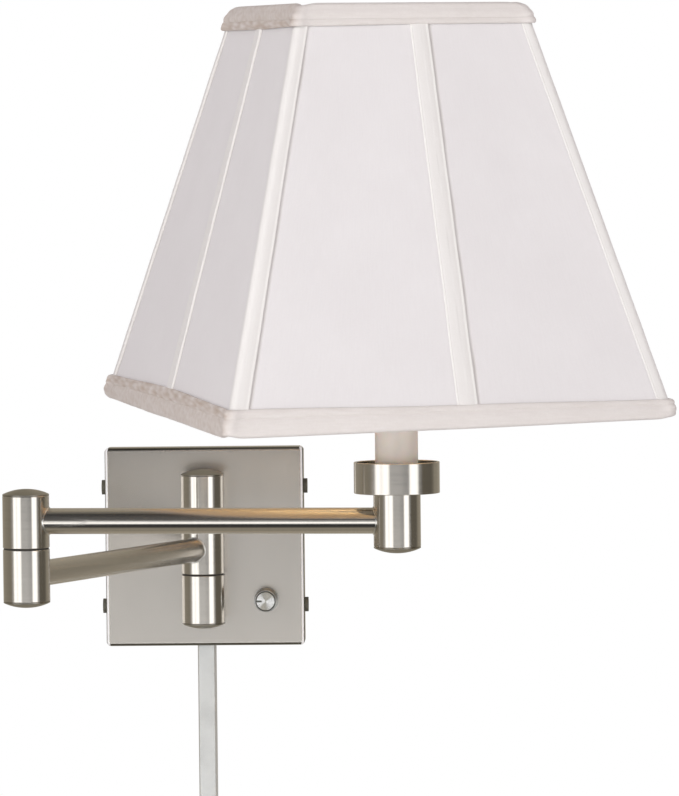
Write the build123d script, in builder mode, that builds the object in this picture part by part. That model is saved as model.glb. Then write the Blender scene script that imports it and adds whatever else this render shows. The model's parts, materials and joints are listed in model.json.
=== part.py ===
from build123d import *
import os
from math import cos, radians, sin

# Swing-arm wall lamp: a square backplate, two folding arms and a square fabric shade on a harp.
# Millimetres, +Z up. The wall is the plane Y = 0 and the front looks towards -Y.
# The origin is the centre of the backplate, on the wall. The rear arm's centre line is at Z = 0.

os.makedirs("parts", exist_ok=True)

INCH = 25.4

# Backplate and the bracket behind it
PLATE_SIDE = 5.25 * INCH
PLATE_DEPTH = 18.0
PLATE_SHEET = 1.2
PLATE_CORNER_R = 3.0
PLATE_BEND_R = 2.2
BRACKET_SHEET = 2.0
BRACKET_HEIGHT = 96.0
FLANGE_DEPTH = 12.0
BRACKET_BEND_R = 1.5
SLOT_SPACING = 79.4
SLOT_LENGTH = 24.0
SLOT_R = 2.4
WIRE_HOLE_R = 15.0
SIDE_SCREW_Z = 40.0
SIDE_SCREW_OUT = 9.0
SIDE_SCREW_R = 1.95
SIDE_SCREW_HEAD_R = 4.9
SIDE_SCREW_HEAD = 2.5
SIDE_SCREW_SHANK = 6.0
SIDE_SCREW_SLOT = 1.0
POST_COLLAR_R = 7.5

# Knuckles: turned segments stacked on a hollow pivot tube
KNUCKLE_R = 0.5 * 1.125 * INCH
SEGMENT = 33.4
SEAM = 0.9
CAP_FLANGE = 1.0
CAP_CROWN = 3.0
CAP_PLUG_R = 10.9
CAP_PLUG = 2.0
POCKET_R = 11.0
POCKET_DEPTH = 9.0
PIPE_R = 5.15
PIPE_BORE_R = 3.3
PIPE_HOLE_R = 5.2
NUT_FLATS = 14.3
NUT_HEIGHT = 4.0
WASHER_R = 13.8
WASHER_SHEET = 0.7
EDGE_R = 0.4
PIVOT_OUT = 38.0

# Arms
ARM = 9.0 * INCH
TUBE_R = 0.5 * 0.625 * INCH
TUBE_WALL = 1.2
LEAD_R = 2.5
LEAD_HOLE_R = 4.0
REAR_TURN = 25.0
FRONT_TURN = 6.0

# Dimmer
DIMMER_X = 41.0
DIMMER_Z = -36.0
DIMMER_BODY = 24.0
BUSH_R = 3.6
SHAFT_R = 3.05
SHAFT_HOLE_R = 3.1
DIMMER_DEPTH = 11.0
DIMMER_CORNER_R = 2.0
BUSH_FRONT = 22.0
SHAFT_BACK = 9.0
RING_R = 8.2
RING_SHEET = 0.6
BUSH_NUT_FLATS = 11.0
BUSH_NUT_HEIGHT = 2.0
KNOB_R = 7.75
KNOB_FRONT = 30.6
KNOB_BACK = 19.0
KNOB_DRAFT = 2.0
KNOB_EDGE_R = 0.3
KNOB_SKIRT_R = 6.75
KNOB_SKIRT = 3.4
FLUTES = 36
FLUTE_R = 0.4
GROOVE = 0.45
GROOVE_DEPTH = 1.1
INSERT_R = 6.2
INSERT_PROUD = 0.45
POINTER_LENGTH = 4.4
POINTER_WIDTH = 0.9
POINTER_OUT = 5.0

# Cord cover below the plate
COVER_BASE_W = 12.7
COVER_FACE_W = 10.6
COVER_DEPTH = 9.0
COVER_WALL = 1.0
COVER_LENGTH = 12.0 * INCH
COVER_TUCK = 6.0
COVER_EDGE_R = 0.7
COVER_BASE = 1.2

# Cup, candle sleeve and socket
CUP_R = 26.0
CUP_HEIGHT = 18.9
CUP_WALL = 1.5
CUP_FLOOR = 2.0
SLEEVE_R = 13.0
SLEEVE_WALL = 1.0
SADDLE_Z = 134.8
SADDLE_SHEET = 1.6
SADDLE_REACH = 26.0
SADDLE_WIDTH = 12.7
SOCKET_TOP = 186.0
SOCKET_CAP_R = 17.2
SOCKET_CAP_RISE = 14.0
SHELL_R = 16.3
SHELL_WALL = 0.8
CONTACT_R = 3.0
BULB_CAP_R = 13.1
BULB_CAP = 26.0
BULB_R = 30.0
BULB_EQUATOR = 236.0

# Harp and shade. The harp leans a little, so the shade hangs slightly forward and to the left.
HARP_WIRE_R = 1.7
HARP_HALF_W = 50.0
SHADE_LEAN = 3.0
SHADE_TURN = 19.0
SHADE_LEFT = 10.0
SHADE_FORWARD = 8.9
SHADE_SEAT_Z = 324.3
SHADE_TOP = 20.0
SHADE_BOTTOM = -223.0
SHADE_TOP_HALF = 71.0
SHADE_BOTTOM_HALF = 138.0
SHADE_CORNER_R = 5.0
TRIM_BAND = 14.5
RIM_WIRE_R = 1.5
RIB_WIRE_R = 1.2
RIM_INSET = 4.15
TAPE_HALF = 5.5
FRONT_SEAM_TOP = 2.0
FRONT_SEAM_BOTTOM = 9.5

# Cloth layers, counted inwards from the outside of the trim
TRIM_INNER = 0.85
TAPE_OUTER = 0.9
TAPE_INNER = 1.65
COVER_CLOTH_OUTER = 1.7
COVER_CLOTH_INNER = 2.5
LINING_OUTER = 6.2
LINING_INNER = 7.0
TRIM_LIP = 0.9

# Places worked out from the sizes above
HALF_SEGMENT = SEGMENT / 2
STACK_TOP = 1.5 * SEGMENT
PLATE_FRONT_IN = PLATE_DEPTH - PLATE_SHEET
WALL_PIVOT = (0.0, -PIVOT_OUT)
REAR_DIR = (-sin(radians(REAR_TURN)), -cos(radians(REAR_TURN)))
FRONT_DIR = (cos(radians(FRONT_TURN)), -sin(radians(FRONT_TURN)))
ELBOW = (ARM * REAR_DIR[0], -PIVOT_OUT + ARM * REAR_DIR[1])
END = (ELBOW[0] + ARM * FRONT_DIR[0], ELBOW[1] + ARM * FRONT_DIR[1])
CUP_BASE = STACK_TOP + 0.05
CUP_FLOOR_TOP = CUP_BASE + CUP_FLOOR
SADDLE_TOP = SADDLE_Z + SADDLE_SHEET
PLATE_HALF = PLATE_SIDE / 2
FLANGE_OUTER = PLATE_HALF - PLATE_SHEET - 0.4

SHADE_AXIS = Vector(0, -sin(radians(SHADE_LEAN)), cos(radians(SHADE_LEAN)))
SHADE_SEAT = Vector(END[0] - SHADE_LEFT, END[1] - SHADE_FORWARD, SHADE_SEAT_Z)
SHADE_PLANE = Plane(
    origin=SHADE_SEAT,
    x_dir=Vector(1, 0, 0).rotate(Axis((0, 0, 0), SHADE_AXIS), SHADE_TURN),
    z_dir=SHADE_AXIS,
)
HARP_FOOT = Vector(END[0], END[1], SADDLE_TOP)
HARP_UP = (SHADE_SEAT - HARP_FOOT).normalized()
HARP_HEIGHT = (SHADE_SEAT - HARP_FOOT).length
HARP_SIDE = Vector(0, 1, 0).cross(HARP_UP)
HARP_PLANE = Plane(origin=HARP_FOOT, x_dir=HARP_SIDE, z_dir=HARP_SIDE.cross(HARP_UP))


def upright(centre, z, down=False):
    """A vertical sketch plane through a pivot line: local x is +X, local y is up, or down."""
    side = 1 if down else -1
    return Plane(origin=(centre[0], centre[1], z), x_dir=(1, 0, 0), z_dir=(0, side, 0))


def pivot_axis(centre):
    """The vertical line of a knuckle."""
    return Axis((centre[0], centre[1], 0), (0, 0, 1))


def along_arm(start, direction, distance, z):
    """A sketch plane square to an arm, some distance along it."""
    origin = (start[0] + distance * direction[0], start[1] + distance * direction[1], z)
    return Plane(origin=origin, z_dir=(direction[0], direction[1], 0))


def knuckle_segment(centre, low, high, pocket=None, lead_dir=None, lead_z=0.0):
    """A turned segment bored for the pivot tube, with a pocket for its nut and a hole for the lead."""
    with BuildPart() as segment:
        with BuildSketch(Plane.XY.offset(low)):
            with Locations(centre):
                Circle(KNUCKLE_R)
        extrude(amount=high - low)
        fillet(segment.edges().filter_by(GeomType.CIRCLE), EDGE_R)
        with BuildSketch(Plane.XY.offset(low)):
            with Locations(centre):
                Circle(PIPE_HOLE_R)
        extrude(amount=high - low, mode=Mode.SUBTRACT)
        if pocket is not None:
            floor = high - POCKET_DEPTH if pocket == "top" else low
            with BuildSketch(Plane.XY.offset(floor)):
                with Locations(centre):
                    Circle(POCKET_R)
            extrude(amount=POCKET_DEPTH, mode=Mode.SUBTRACT)
        if lead_dir is not None:
            with BuildSketch(along_arm(centre, lead_dir, 0, lead_z)):
                Circle(LEAD_HOLE_R)
            extrude(amount=2 * KNUCKLE_R, mode=Mode.SUBTRACT)
    return segment


def domed_cap(centre, z, down=False):
    """A pressed cap that closes a knuckle: a plug, a thin rim and a shallow dome."""
    with BuildPart() as cap:
        with BuildSketch(upright(centre, z, down)):
            with BuildLine():
                dome = ThreePointArc(
                    (0, CAP_FLANGE + CAP_CROWN),
                    (KNUCKLE_R * 0.55, CAP_FLANGE + CAP_CROWN * 0.72),
                    (KNUCKLE_R - 0.3, CAP_FLANGE),
                )
                Polyline(
                    dome @ 1,
                    (KNUCKLE_R, CAP_FLANGE - 0.3),
                    (KNUCKLE_R, 0.2),
                    (KNUCKLE_R - 0.2, 0),
                    (CAP_PLUG_R, 0),
                    (CAP_PLUG_R, -CAP_PLUG),
                    (0, -CAP_PLUG),
                    dome @ 0,
                )
            make_face()
        revolve(axis=pivot_axis(centre))
    return cap


def pipe(centre, low, high):
    """A length of hollow threaded lamp pipe, standing up."""
    with BuildPart() as tube:
        with BuildSketch(Plane.XY.offset(low)):
            with Locations(centre):
                Circle(PIPE_R)
                Circle(PIPE_BORE_R, mode=Mode.SUBTRACT)
        extrude(amount=high - low)
    return tube


def hex_nut(centre, low, height=NUT_HEIGHT):
    """A hexagonal locknut on upright lamp pipe."""
    with BuildPart() as nut:
        with BuildSketch(Plane.XY.offset(low)):
            with Locations(centre):
                RegularPolygon(NUT_FLATS / 2, 6, major_radius=False)
                Circle(PIPE_HOLE_R, mode=Mode.SUBTRACT)
        extrude(amount=height)
    return nut


def thin_washer(centre, seam_z):
    """A friction washer in the seam between two segments."""
    with BuildPart() as washer:
        with BuildSketch(Plane.XY.offset(seam_z - WASHER_SHEET / 2)):
            with Locations(centre):
                Circle(WASHER_R)
                Circle(PIPE_HOLE_R + 0.1, mode=Mode.SUBTRACT)
        extrude(amount=WASHER_SHEET)
    return washer


def arm_tube(start, direction, z):
    """A round arm, mitred at each end to fit the side of its knuckle."""
    mouth_r = KNUCKLE_R + 0.02
    finish = (start[0] + ARM * direction[0], start[1] + ARM * direction[1])
    with BuildPart() as tube:
        with BuildSketch(along_arm(start, direction, 0, z)):
            Circle(TUBE_R)
            Circle(TUBE_R - TUBE_WALL, mode=Mode.SUBTRACT)
        extrude(amount=ARM)
        with BuildSketch(Plane.XY.offset(z - 2 * TUBE_R)):
            with Locations(start, finish):
                Circle(mouth_r)
        extrude(amount=4 * TUBE_R, mode=Mode.SUBTRACT)
    return tube


def half_width(height, inset):
    """Half the width of the shade at a height above its seat, some way in from the outside."""
    slope = (SHADE_BOTTOM_HALF - SHADE_TOP_HALF) / (SHADE_TOP - SHADE_BOTTOM)
    return SHADE_TOP_HALF + slope * (SHADE_TOP - height) - inset


def seam_shift(height, x_sign, y_sign):
    """How far a rib is set to the right of its usual place: the front's middle seam runs askew."""
    if (x_sign, y_sign) != (0, -1):
        return 0.0
    share = (SHADE_TOP - height) / (SHADE_TOP - SHADE_BOTTOM)
    return FRONT_SEAM_TOP + share * (FRONT_SEAM_BOTTOM - FRONT_SEAM_TOP)


def shade_block(low, high, inset):
    """A solid tapered block of the shade's outline."""
    with BuildPart() as block:
        for height in (low, high):
            side = 2 * half_width(height, inset)
            with BuildSketch(SHADE_PLANE.offset(height)):
                RectangleRounded(side, side, max(SHADE_CORNER_R - inset, 1.0))
        loft()
    return block


def shade_wall(low, high, outer, inner):
    """A tapered square wall of cloth, open at the top and the bottom."""
    overrun = 1.0
    with BuildPart() as wall:
        add(shade_block(low, high, outer).part)
        add(shade_block(low - overrun, high + overrun, inner).part, mode=Mode.SUBTRACT)
    return wall


def rods(ends, radius):
    """Straight wires between pairs of points, as one node of separate solids."""
    with BuildPart() as wires:
        for start, finish in ends:
            with BuildSketch(Plane(origin=start, z_dir=finish - start)):
                Circle(radius)
            extrude(amount=(finish - start).length)
    return wires


# ---------------------------------------------------------------- wall unit

with BuildPart() as backplate:
    with BuildSketch(Plane.XZ):
        RectangleRounded(PLATE_SIDE, PLATE_SIDE, PLATE_CORNER_R)
    extrude(amount=PLATE_DEPTH)
    fillet(backplate.faces().sort_by(Axis.Y)[0].edges(), PLATE_BEND_R)
    offset(amount=-PLATE_SHEET, openings=backplate.faces().sort_by(Axis.Y)[-1])
    with BuildSketch(Plane.XZ.offset(PLATE_FRONT_IN - 1)):
        with Locations((0, SEGMENT), (0, -SEGMENT)):
            Circle(PIPE_HOLE_R)
        with Locations((DIMMER_X, DIMMER_Z)):
            Circle(BUSH_R + 0.1)
    extrude(amount=PLATE_SHEET + 2, mode=Mode.SUBTRACT)
    with BuildSketch(Plane.YZ.offset(-PLATE_HALF - 1)):
        with Locations((-SIDE_SCREW_OUT, SIDE_SCREW_Z), (-SIDE_SCREW_OUT, -SIDE_SCREW_Z)):
            Circle(SIDE_SCREW_R + 0.25)
    extrude(amount=PLATE_SIDE + 2, mode=Mode.SUBTRACT)
    with BuildSketch(Plane.XY.offset(-PLATE_HALF - 1)):
        with Locations((0, -COVER_DEPTH / 2)):
            Rectangle(COVER_BASE_W + 0.4, COVER_DEPTH + 0.4)
    extrude(amount=PLATE_SHEET + 2, mode=Mode.SUBTRACT)
backplate.part.label = "backplate"
export_step(backplate.part, "parts/backplate.step")

with BuildPart() as wall_bracket:
    with BuildSketch(Plane.XY.offset(-BRACKET_HEIGHT / 2)):
        with BuildLine():
            Polyline(
                (-FLANGE_OUTER, 0),
                (-FLANGE_OUTER, -FLANGE_DEPTH),
                (-FLANGE_OUTER + BRACKET_SHEET, -FLANGE_DEPTH),
                (-FLANGE_OUTER + BRACKET_SHEET, -BRACKET_SHEET),
                (FLANGE_OUTER - BRACKET_SHEET, -BRACKET_SHEET),
                (FLANGE_OUTER - BRACKET_SHEET, -FLANGE_DEPTH),
                (FLANGE_OUTER, -FLANGE_DEPTH),
                (FLANGE_OUTER, 0),
                close=True,
            )
        make_face()
    extrude(amount=BRACKET_HEIGHT)
    bends = wall_bracket.edges().filter_by(Axis.Z).group_by(Axis.Y)[-1]
    fillet(bends, BRACKET_BEND_R)
    with BuildSketch(Plane.XZ):
        Circle(WIRE_HOLE_R)
        with Locations((-SLOT_SPACING / 2, 0), (SLOT_SPACING / 2, 0)):
            SlotOverall(SLOT_LENGTH, 2 * SLOT_R)
    extrude(amount=BRACKET_SHEET, mode=Mode.SUBTRACT)
    with BuildSketch(Plane.YZ.offset(-PLATE_HALF)):
        with Locations((-SIDE_SCREW_OUT, SIDE_SCREW_Z), (-SIDE_SCREW_OUT, -SIDE_SCREW_Z)):
            Circle(SIDE_SCREW_R + 0.05)
    extrude(amount=PLATE_SIDE, mode=Mode.SUBTRACT)
wall_bracket.part.label = "wall_bracket"
export_step(wall_bracket.part, "parts/wall_bracket.step")

# Slotted screws in the plate's sides, which clamp it to the bracket's flanges.
with BuildPart() as side_screws:
    for side in (-1, 1):
        outer_face = Plane(origin=(side * PLATE_HALF, 0, 0), x_dir=(0, 1, 0), z_dir=(side, 0, 0))
        for z in (-SIDE_SCREW_Z, SIDE_SCREW_Z):
            place = (-SIDE_SCREW_OUT, side * z)
            with BuildSketch(outer_face):
                with Locations(place):
                    Circle(SIDE_SCREW_HEAD_R)
            extrude(amount=SIDE_SCREW_HEAD)
            with BuildSketch(outer_face):
                with Locations(place):
                    Circle(SIDE_SCREW_R)
            extrude(amount=-SIDE_SCREW_SHANK)
            with BuildSketch(outer_face.offset(SIDE_SCREW_HEAD - SIDE_SCREW_SLOT)):
                with Locations(place):
                    Rectangle(SIDE_SCREW_SLOT, 2 * SIDE_SCREW_HEAD_R)
            extrude(amount=2 * SIDE_SCREW_SLOT, mode=Mode.SUBTRACT)
side_screws.part.label = "side_screws"
export_step(side_screws.part, "parts/side_screws.step")

POST_TIP = PIVOT_OUT - PIPE_HOLE_R - 1.0
POST_BACK = 8.0


def fixed_segment(low, high, pocket, post_z):
    """A knuckle segment that is held to the backplate by a threaded post."""
    with BuildPart() as segment:
        add(knuckle_segment(WALL_PIVOT, low, high, pocket).part)
        with BuildSketch(Plane.XZ.offset(PLATE_DEPTH)):
            with Locations((0, post_z)):
                Circle(PIPE_HOLE_R)
        extrude(amount=POST_TIP + 0.2 - PLATE_DEPTH, mode=Mode.SUBTRACT)
    return segment


wall_knuckle_top = fixed_segment(HALF_SEGMENT + SEAM / 2, STACK_TOP - CAP_FLANGE, "top", SEGMENT)
wall_knuckle_top.part.label = "wall_knuckle_top"
export_step(wall_knuckle_top.part, "parts/wall_knuckle_top.step")

wall_knuckle_bottom = fixed_segment(
    -STACK_TOP + CAP_FLANGE, -HALF_SEGMENT - SEAM / 2, "bottom", -SEGMENT
)
wall_knuckle_bottom.part.label = "wall_knuckle_bottom"
export_step(wall_knuckle_bottom.part, "parts/wall_knuckle_bottom.step")

with BuildPart() as wall_knuckle_caps:
    add(domed_cap(WALL_PIVOT, STACK_TOP - CAP_FLANGE).part)
    add(domed_cap(WALL_PIVOT, -STACK_TOP + CAP_FLANGE, down=True).part)
wall_knuckle_caps.part.label = "wall_knuckle_caps"
export_step(wall_knuckle_caps.part, "parts/wall_knuckle_caps.step")

PIVOT_REACH = STACK_TOP - CAP_FLANGE - POCKET_DEPTH + NUT_HEIGHT + 0.8
NUT_SEAT = STACK_TOP - CAP_FLANGE - POCKET_DEPTH + 0.1

wall_pivot_tube = pipe(WALL_PIVOT, -PIVOT_REACH, PIVOT_REACH)
wall_pivot_tube.part.label = "wall_pivot_tube"
export_step(wall_pivot_tube.part, "parts/wall_pivot_tube.step")

with BuildPart() as wall_pivot_nuts:
    add(hex_nut(WALL_PIVOT, NUT_SEAT).part)
    add(hex_nut(WALL_PIVOT, -NUT_SEAT - NUT_HEIGHT).part)
wall_pivot_nuts.part.label = "wall_pivot_nuts"
export_step(wall_pivot_nuts.part, "parts/wall_pivot_nuts.step")

with BuildPart() as wall_friction_washers:
    add(thin_washer(WALL_PIVOT, HALF_SEGMENT).part)
    add(thin_washer(WALL_PIVOT, -HALF_SEGMENT).part)
wall_friction_washers.part.label = "wall_friction_washers"
export_step(wall_friction_washers.part, "parts/wall_friction_washers.step")

with BuildPart() as post_nipples:
    with BuildSketch(Plane.XZ.offset(POST_BACK)):
        with Locations((0, SEGMENT), (0, -SEGMENT)):
            Circle(PIPE_R)
            Circle(PIPE_BORE_R, mode=Mode.SUBTRACT)
    extrude(amount=POST_TIP - POST_BACK)
post_nipples.part.label = "post_nipples"
export_step(post_nipples.part, "parts/post_nipples.step")

with BuildPart() as post_collars:
    with BuildSketch(Plane.XZ.offset(PLATE_DEPTH + 0.05)):
        with Locations((0, SEGMENT), (0, -SEGMENT)):
            Circle(POST_COLLAR_R)
            Circle(PIPE_HOLE_R, mode=Mode.SUBTRACT)
    extrude(amount=PIVOT_OUT - PLATE_DEPTH - POST_COLLAR_R)
    with BuildSketch(Plane.XY.offset(-2 * SEGMENT)):
        with Locations(WALL_PIVOT):
            Circle(KNUCKLE_R + 0.02)
    extrude(amount=4 * SEGMENT, mode=Mode.SUBTRACT)
post_collars.part.label = "post_collars"
export_step(post_collars.part, "parts/post_collars.step")

with BuildPart() as post_locknuts:
    with BuildSketch(Plane.XZ.offset(PLATE_FRONT_IN - NUT_HEIGHT - 0.05)):
        with Locations((0, SEGMENT), (0, -SEGMENT)):
            RegularPolygon(NUT_FLATS / 2, 6, major_radius=False)
            Circle(PIPE_HOLE_R, mode=Mode.SUBTRACT)
    extrude(amount=NUT_HEIGHT)
post_locknuts.part.label = "post_locknuts"
export_step(post_locknuts.part, "parts/post_locknuts.step")

# ---------------------------------------------------------------- dimmer

DIMMER_SPOT = (DIMMER_X, DIMMER_Z)

with BuildPart() as dimmer_body:
    with BuildSketch(Plane.XZ.offset(PLATE_FRONT_IN - DIMMER_DEPTH - 0.05)):
        with Locations(DIMMER_SPOT):
            RectangleRounded(DIMMER_BODY, DIMMER_BODY, DIMMER_CORNER_R)
    extrude(amount=DIMMER_DEPTH)
    with BuildSketch(Plane.XZ.offset(PLATE_FRONT_IN - 1)):
        with Locations(DIMMER_SPOT):
            Circle(BUSH_R)
    extrude(amount=BUSH_FRONT - PLATE_FRONT_IN + 1)
    with BuildSketch(Plane.XZ.offset(SHAFT_BACK)):
        with Locations(DIMMER_SPOT):
            Circle(SHAFT_HOLE_R)
    extrude(amount=BUSH_FRONT - SHAFT_BACK, mode=Mode.SUBTRACT)
dimmer_body.part.label = "dimmer_body"
export_step(dimmer_body.part, "parts/dimmer_body.step")

with BuildPart() as dimmer_nut:
    with BuildSketch(Plane.XZ.offset(PLATE_DEPTH + 0.05)):
        with Locations(DIMMER_SPOT):
            Circle(RING_R)
            Circle(BUSH_R + 0.05, mode=Mode.SUBTRACT)
    extrude(amount=RING_SHEET)
    with BuildSketch(Plane.XZ.offset(PLATE_DEPTH + RING_SHEET + 0.1)):
        with Locations(DIMMER_SPOT):
            RegularPolygon(BUSH_NUT_FLATS / 2, 6, major_radius=False)
            Circle(BUSH_R + 0.05, mode=Mode.SUBTRACT)
    extrude(amount=BUSH_NUT_HEIGHT)
dimmer_nut.part.label = "dimmer_nut"
export_step(dimmer_nut.part, "parts/dimmer_nut.step")

SHAFT_FRONT = KNOB_FRONT - 2.2

with BuildPart() as dimmer_shaft:
    with BuildSketch(Plane.XZ.offset(SHAFT_BACK + 0.3)):
        with Locations(DIMMER_SPOT):
            Circle(SHAFT_R)
    extrude(amount=SHAFT_FRONT - SHAFT_BACK - 0.3)
dimmer_shaft.part.label = "dimmer_shaft"
export_step(dimmer_shaft.part, "parts/dimmer_shaft.step")

# The knob's skirt hides the nut, its rim is fluted, and its front is bored for a spun metal face.
with BuildPart() as dimmer_knob:
    with BuildSketch(Plane.XZ.offset(KNOB_BACK)):
        with Locations(DIMMER_SPOT):
            Circle(KNOB_R)
    extrude(amount=KNOB_FRONT - KNOB_BACK, taper=KNOB_DRAFT)
    fillet(dimmer_knob.faces().sort_by(Axis.Y)[0].edges(), KNOB_EDGE_R)
    with BuildSketch(Plane.XZ.offset(KNOB_BACK + 2)):
        with Locations(DIMMER_SPOT):
            with PolarLocations(KNOB_R + 0.25, FLUTES):
                Circle(FLUTE_R)
    extrude(amount=KNOB_FRONT - KNOB_BACK, mode=Mode.SUBTRACT)
    with BuildSketch(Plane.XZ.offset(KNOB_BACK)):
        with Locations(DIMMER_SPOT):
            Circle(KNOB_SKIRT_R)
    extrude(amount=KNOB_SKIRT, mode=Mode.SUBTRACT)
    with BuildSketch(Plane.XZ.offset(KNOB_BACK)):
        with Locations(DIMMER_SPOT):
            Circle(SHAFT_HOLE_R)
    extrude(amount=SHAFT_FRONT + 0.2 - KNOB_BACK, mode=Mode.SUBTRACT)
    with BuildSketch(Plane.XZ.offset(KNOB_FRONT - GROOVE_DEPTH)):
        with Locations(DIMMER_SPOT):
            Circle(INSERT_R + GROOVE)
    extrude(amount=2 * GROOVE_DEPTH, mode=Mode.SUBTRACT)
dimmer_knob.part.label = "dimmer_knob"
export_step(dimmer_knob.part, "parts/dimmer_knob.step")

# The face stands a groove's width inside the rim, with a short pointer cut towards its edge.
with BuildPart() as knob_face:
    with BuildSketch(Plane.XZ.offset(KNOB_FRONT - GROOVE_DEPTH + 0.05)):
        with Locations(DIMMER_SPOT):
            Circle(INSERT_R)
    extrude(amount=GROOVE_DEPTH - 0.05 + INSERT_PROUD)
    chamfer(knob_face.faces().sort_by(Axis.Y)[0].edges(), 0.3)
    with BuildSketch(Plane.XZ.offset(KNOB_FRONT)):
        with Locations((DIMMER_X - POINTER_OUT, DIMMER_Z)):
            SlotOverall(POINTER_LENGTH, POINTER_WIDTH)
    extrude(amount=2 * INSERT_PROUD, mode=Mode.SUBTRACT)
knob_face.part.label = "knob_face"
export_step(knob_face.part, "parts/knob_face.step")

# ---------------------------------------------------------------- cord cover and joints in the leads

COVER_TOP = -PLATE_HALF + COVER_TUCK
LIP_IN = COVER_WALL * 1.1

with BuildPart() as cord_cover_lid:
    with BuildSketch(Plane.XY.offset(COVER_TOP)):
        with BuildLine():
            Polyline(
                (-COVER_BASE_W / 2, 0),
                (-COVER_FACE_W / 2, -COVER_DEPTH),
                (COVER_FACE_W / 2, -COVER_DEPTH),
                (COVER_BASE_W / 2, 0),
                (COVER_BASE_W / 2 - LIP_IN, 0),
                (COVER_FACE_W / 2 - LIP_IN, -COVER_DEPTH + COVER_WALL),
                (-COVER_FACE_W / 2 + LIP_IN, -COVER_DEPTH + COVER_WALL),
                (-COVER_BASE_W / 2 + LIP_IN, 0),
                close=True,
            )
        make_face()
    extrude(amount=-COVER_LENGTH)
    fillet(cord_cover_lid.edges().filter_by(Axis.Z).group_by(Axis.Y)[0], COVER_EDGE_R)
cord_cover_lid.part.label = "cord_cover_lid"
export_step(cord_cover_lid.part, "parts/cord_cover_lid.step")

with BuildPart() as cord_cover_base:
    with BuildSketch(Plane.XY.offset(COVER_TOP)):
        with Locations((0, -COVER_BASE / 2)):
            Rectangle(COVER_BASE_W - 2 * LIP_IN - 0.6, COVER_BASE)
    extrude(amount=-COVER_LENGTH)
cord_cover_base.part.label = "cord_cover_base"
export_step(cord_cover_base.part, "parts/cord_cover_base.step")

CONNECTOR_SPOT = (-36.0, -9.5)
CONNECTOR_FEET = (4.0, 28.0)

# Two twist-on wire connectors, which taper upwards.
with BuildPart() as wire_connectors:
    for foot in CONNECTOR_FEET:
        with BuildSketch(upright(CONNECTOR_SPOT, foot)):
            with BuildLine():
                Polyline((0, 0), (5, 0), (5, 6), (3.6, 15), (2.4, 17), (0, 17), (0, 0))
            make_face()
        revolve(axis=pivot_axis(CONNECTOR_SPOT))
wire_connectors.part.label = "wire_connectors"
export_step(wire_connectors.part, "parts/wire_connectors.step")

# ---------------------------------------------------------------- rear arm

BACK_DIR = (-REAR_DIR[0], -REAR_DIR[1])

rear_knuckle = knuckle_segment(
    WALL_PIVOT, -HALF_SEGMENT + SEAM / 2, HALF_SEGMENT - SEAM / 2, lead_dir=REAR_DIR
)
rear_knuckle.part.label = "rear_knuckle"
export_step(rear_knuckle.part, "parts/rear_knuckle.step")

rear_arm_tube = arm_tube(WALL_PIVOT, REAR_DIR, 0)
rear_arm_tube.part.label = "rear_arm_tube"
export_step(rear_arm_tube.part, "parts/rear_arm_tube.step")

elbow_lower = knuckle_segment(
    ELBOW, -HALF_SEGMENT + CAP_FLANGE, HALF_SEGMENT - SEAM / 2, "bottom", BACK_DIR
)
elbow_lower.part.label = "elbow_lower"
export_step(elbow_lower.part, "parts/elbow_lower.step")

elbow_lower_cap = domed_cap(ELBOW, -HALF_SEGMENT + CAP_FLANGE, down=True)
elbow_lower_cap.part.label = "elbow_lower_cap"
export_step(elbow_lower_cap.part, "parts/elbow_lower_cap.step")

ELBOW_TUBE_LOW = -HALF_SEGMENT + CAP_FLANGE + CAP_PLUG + 1.0

elbow_pivot_tube = pipe(ELBOW, ELBOW_TUBE_LOW, PIVOT_REACH)
elbow_pivot_tube.part.label = "elbow_pivot_tube"
export_step(elbow_pivot_tube.part, "parts/elbow_pivot_tube.step")

with BuildPart() as elbow_pivot_nuts:
    add(hex_nut(ELBOW, NUT_SEAT).part)
    add(hex_nut(ELBOW, -HALF_SEGMENT + CAP_FLANGE + POCKET_DEPTH - NUT_HEIGHT - 0.1).part)
elbow_pivot_nuts.part.label = "elbow_pivot_nuts"
export_step(elbow_pivot_nuts.part, "parts/elbow_pivot_nuts.step")

elbow_friction_washer = thin_washer(ELBOW, HALF_SEGMENT)
elbow_friction_washer.part.label = "elbow_friction_washer"
export_step(elbow_friction_washer.part, "parts/elbow_friction_washer.step")

LEAD_INSET = 9.0

with BuildPart() as rear_arm_lead:
    with BuildSketch(along_arm(WALL_PIVOT, REAR_DIR, LEAD_INSET, 0)):
        Circle(LEAD_R)
    extrude(amount=ARM - 2 * LEAD_INSET)
rear_arm_lead.part.label = "rear_arm_lead"
export_step(rear_arm_lead.part, "parts/rear_arm_lead.step")

# ---------------------------------------------------------------- front arm

elbow_upper = knuckle_segment(
    ELBOW, HALF_SEGMENT + SEAM / 2, STACK_TOP - CAP_FLANGE, "top", FRONT_DIR, SEGMENT
)
elbow_upper.part.label = "elbow_upper"
export_step(elbow_upper.part, "parts/elbow_upper.step")

elbow_upper_cap = domed_cap(ELBOW, STACK_TOP - CAP_FLANGE)
elbow_upper_cap.part.label = "elbow_upper_cap"
export_step(elbow_upper_cap.part, "parts/elbow_upper_cap.step")

front_arm_tube = arm_tube(ELBOW, FRONT_DIR, SEGMENT)
front_arm_tube.part.label = "front_arm_tube"
export_step(front_arm_tube.part, "parts/front_arm_tube.step")

END_LOW = HALF_SEGMENT + CAP_FLANGE
RISER_LOW = END_LOW + CAP_PLUG + 5.0

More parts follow.
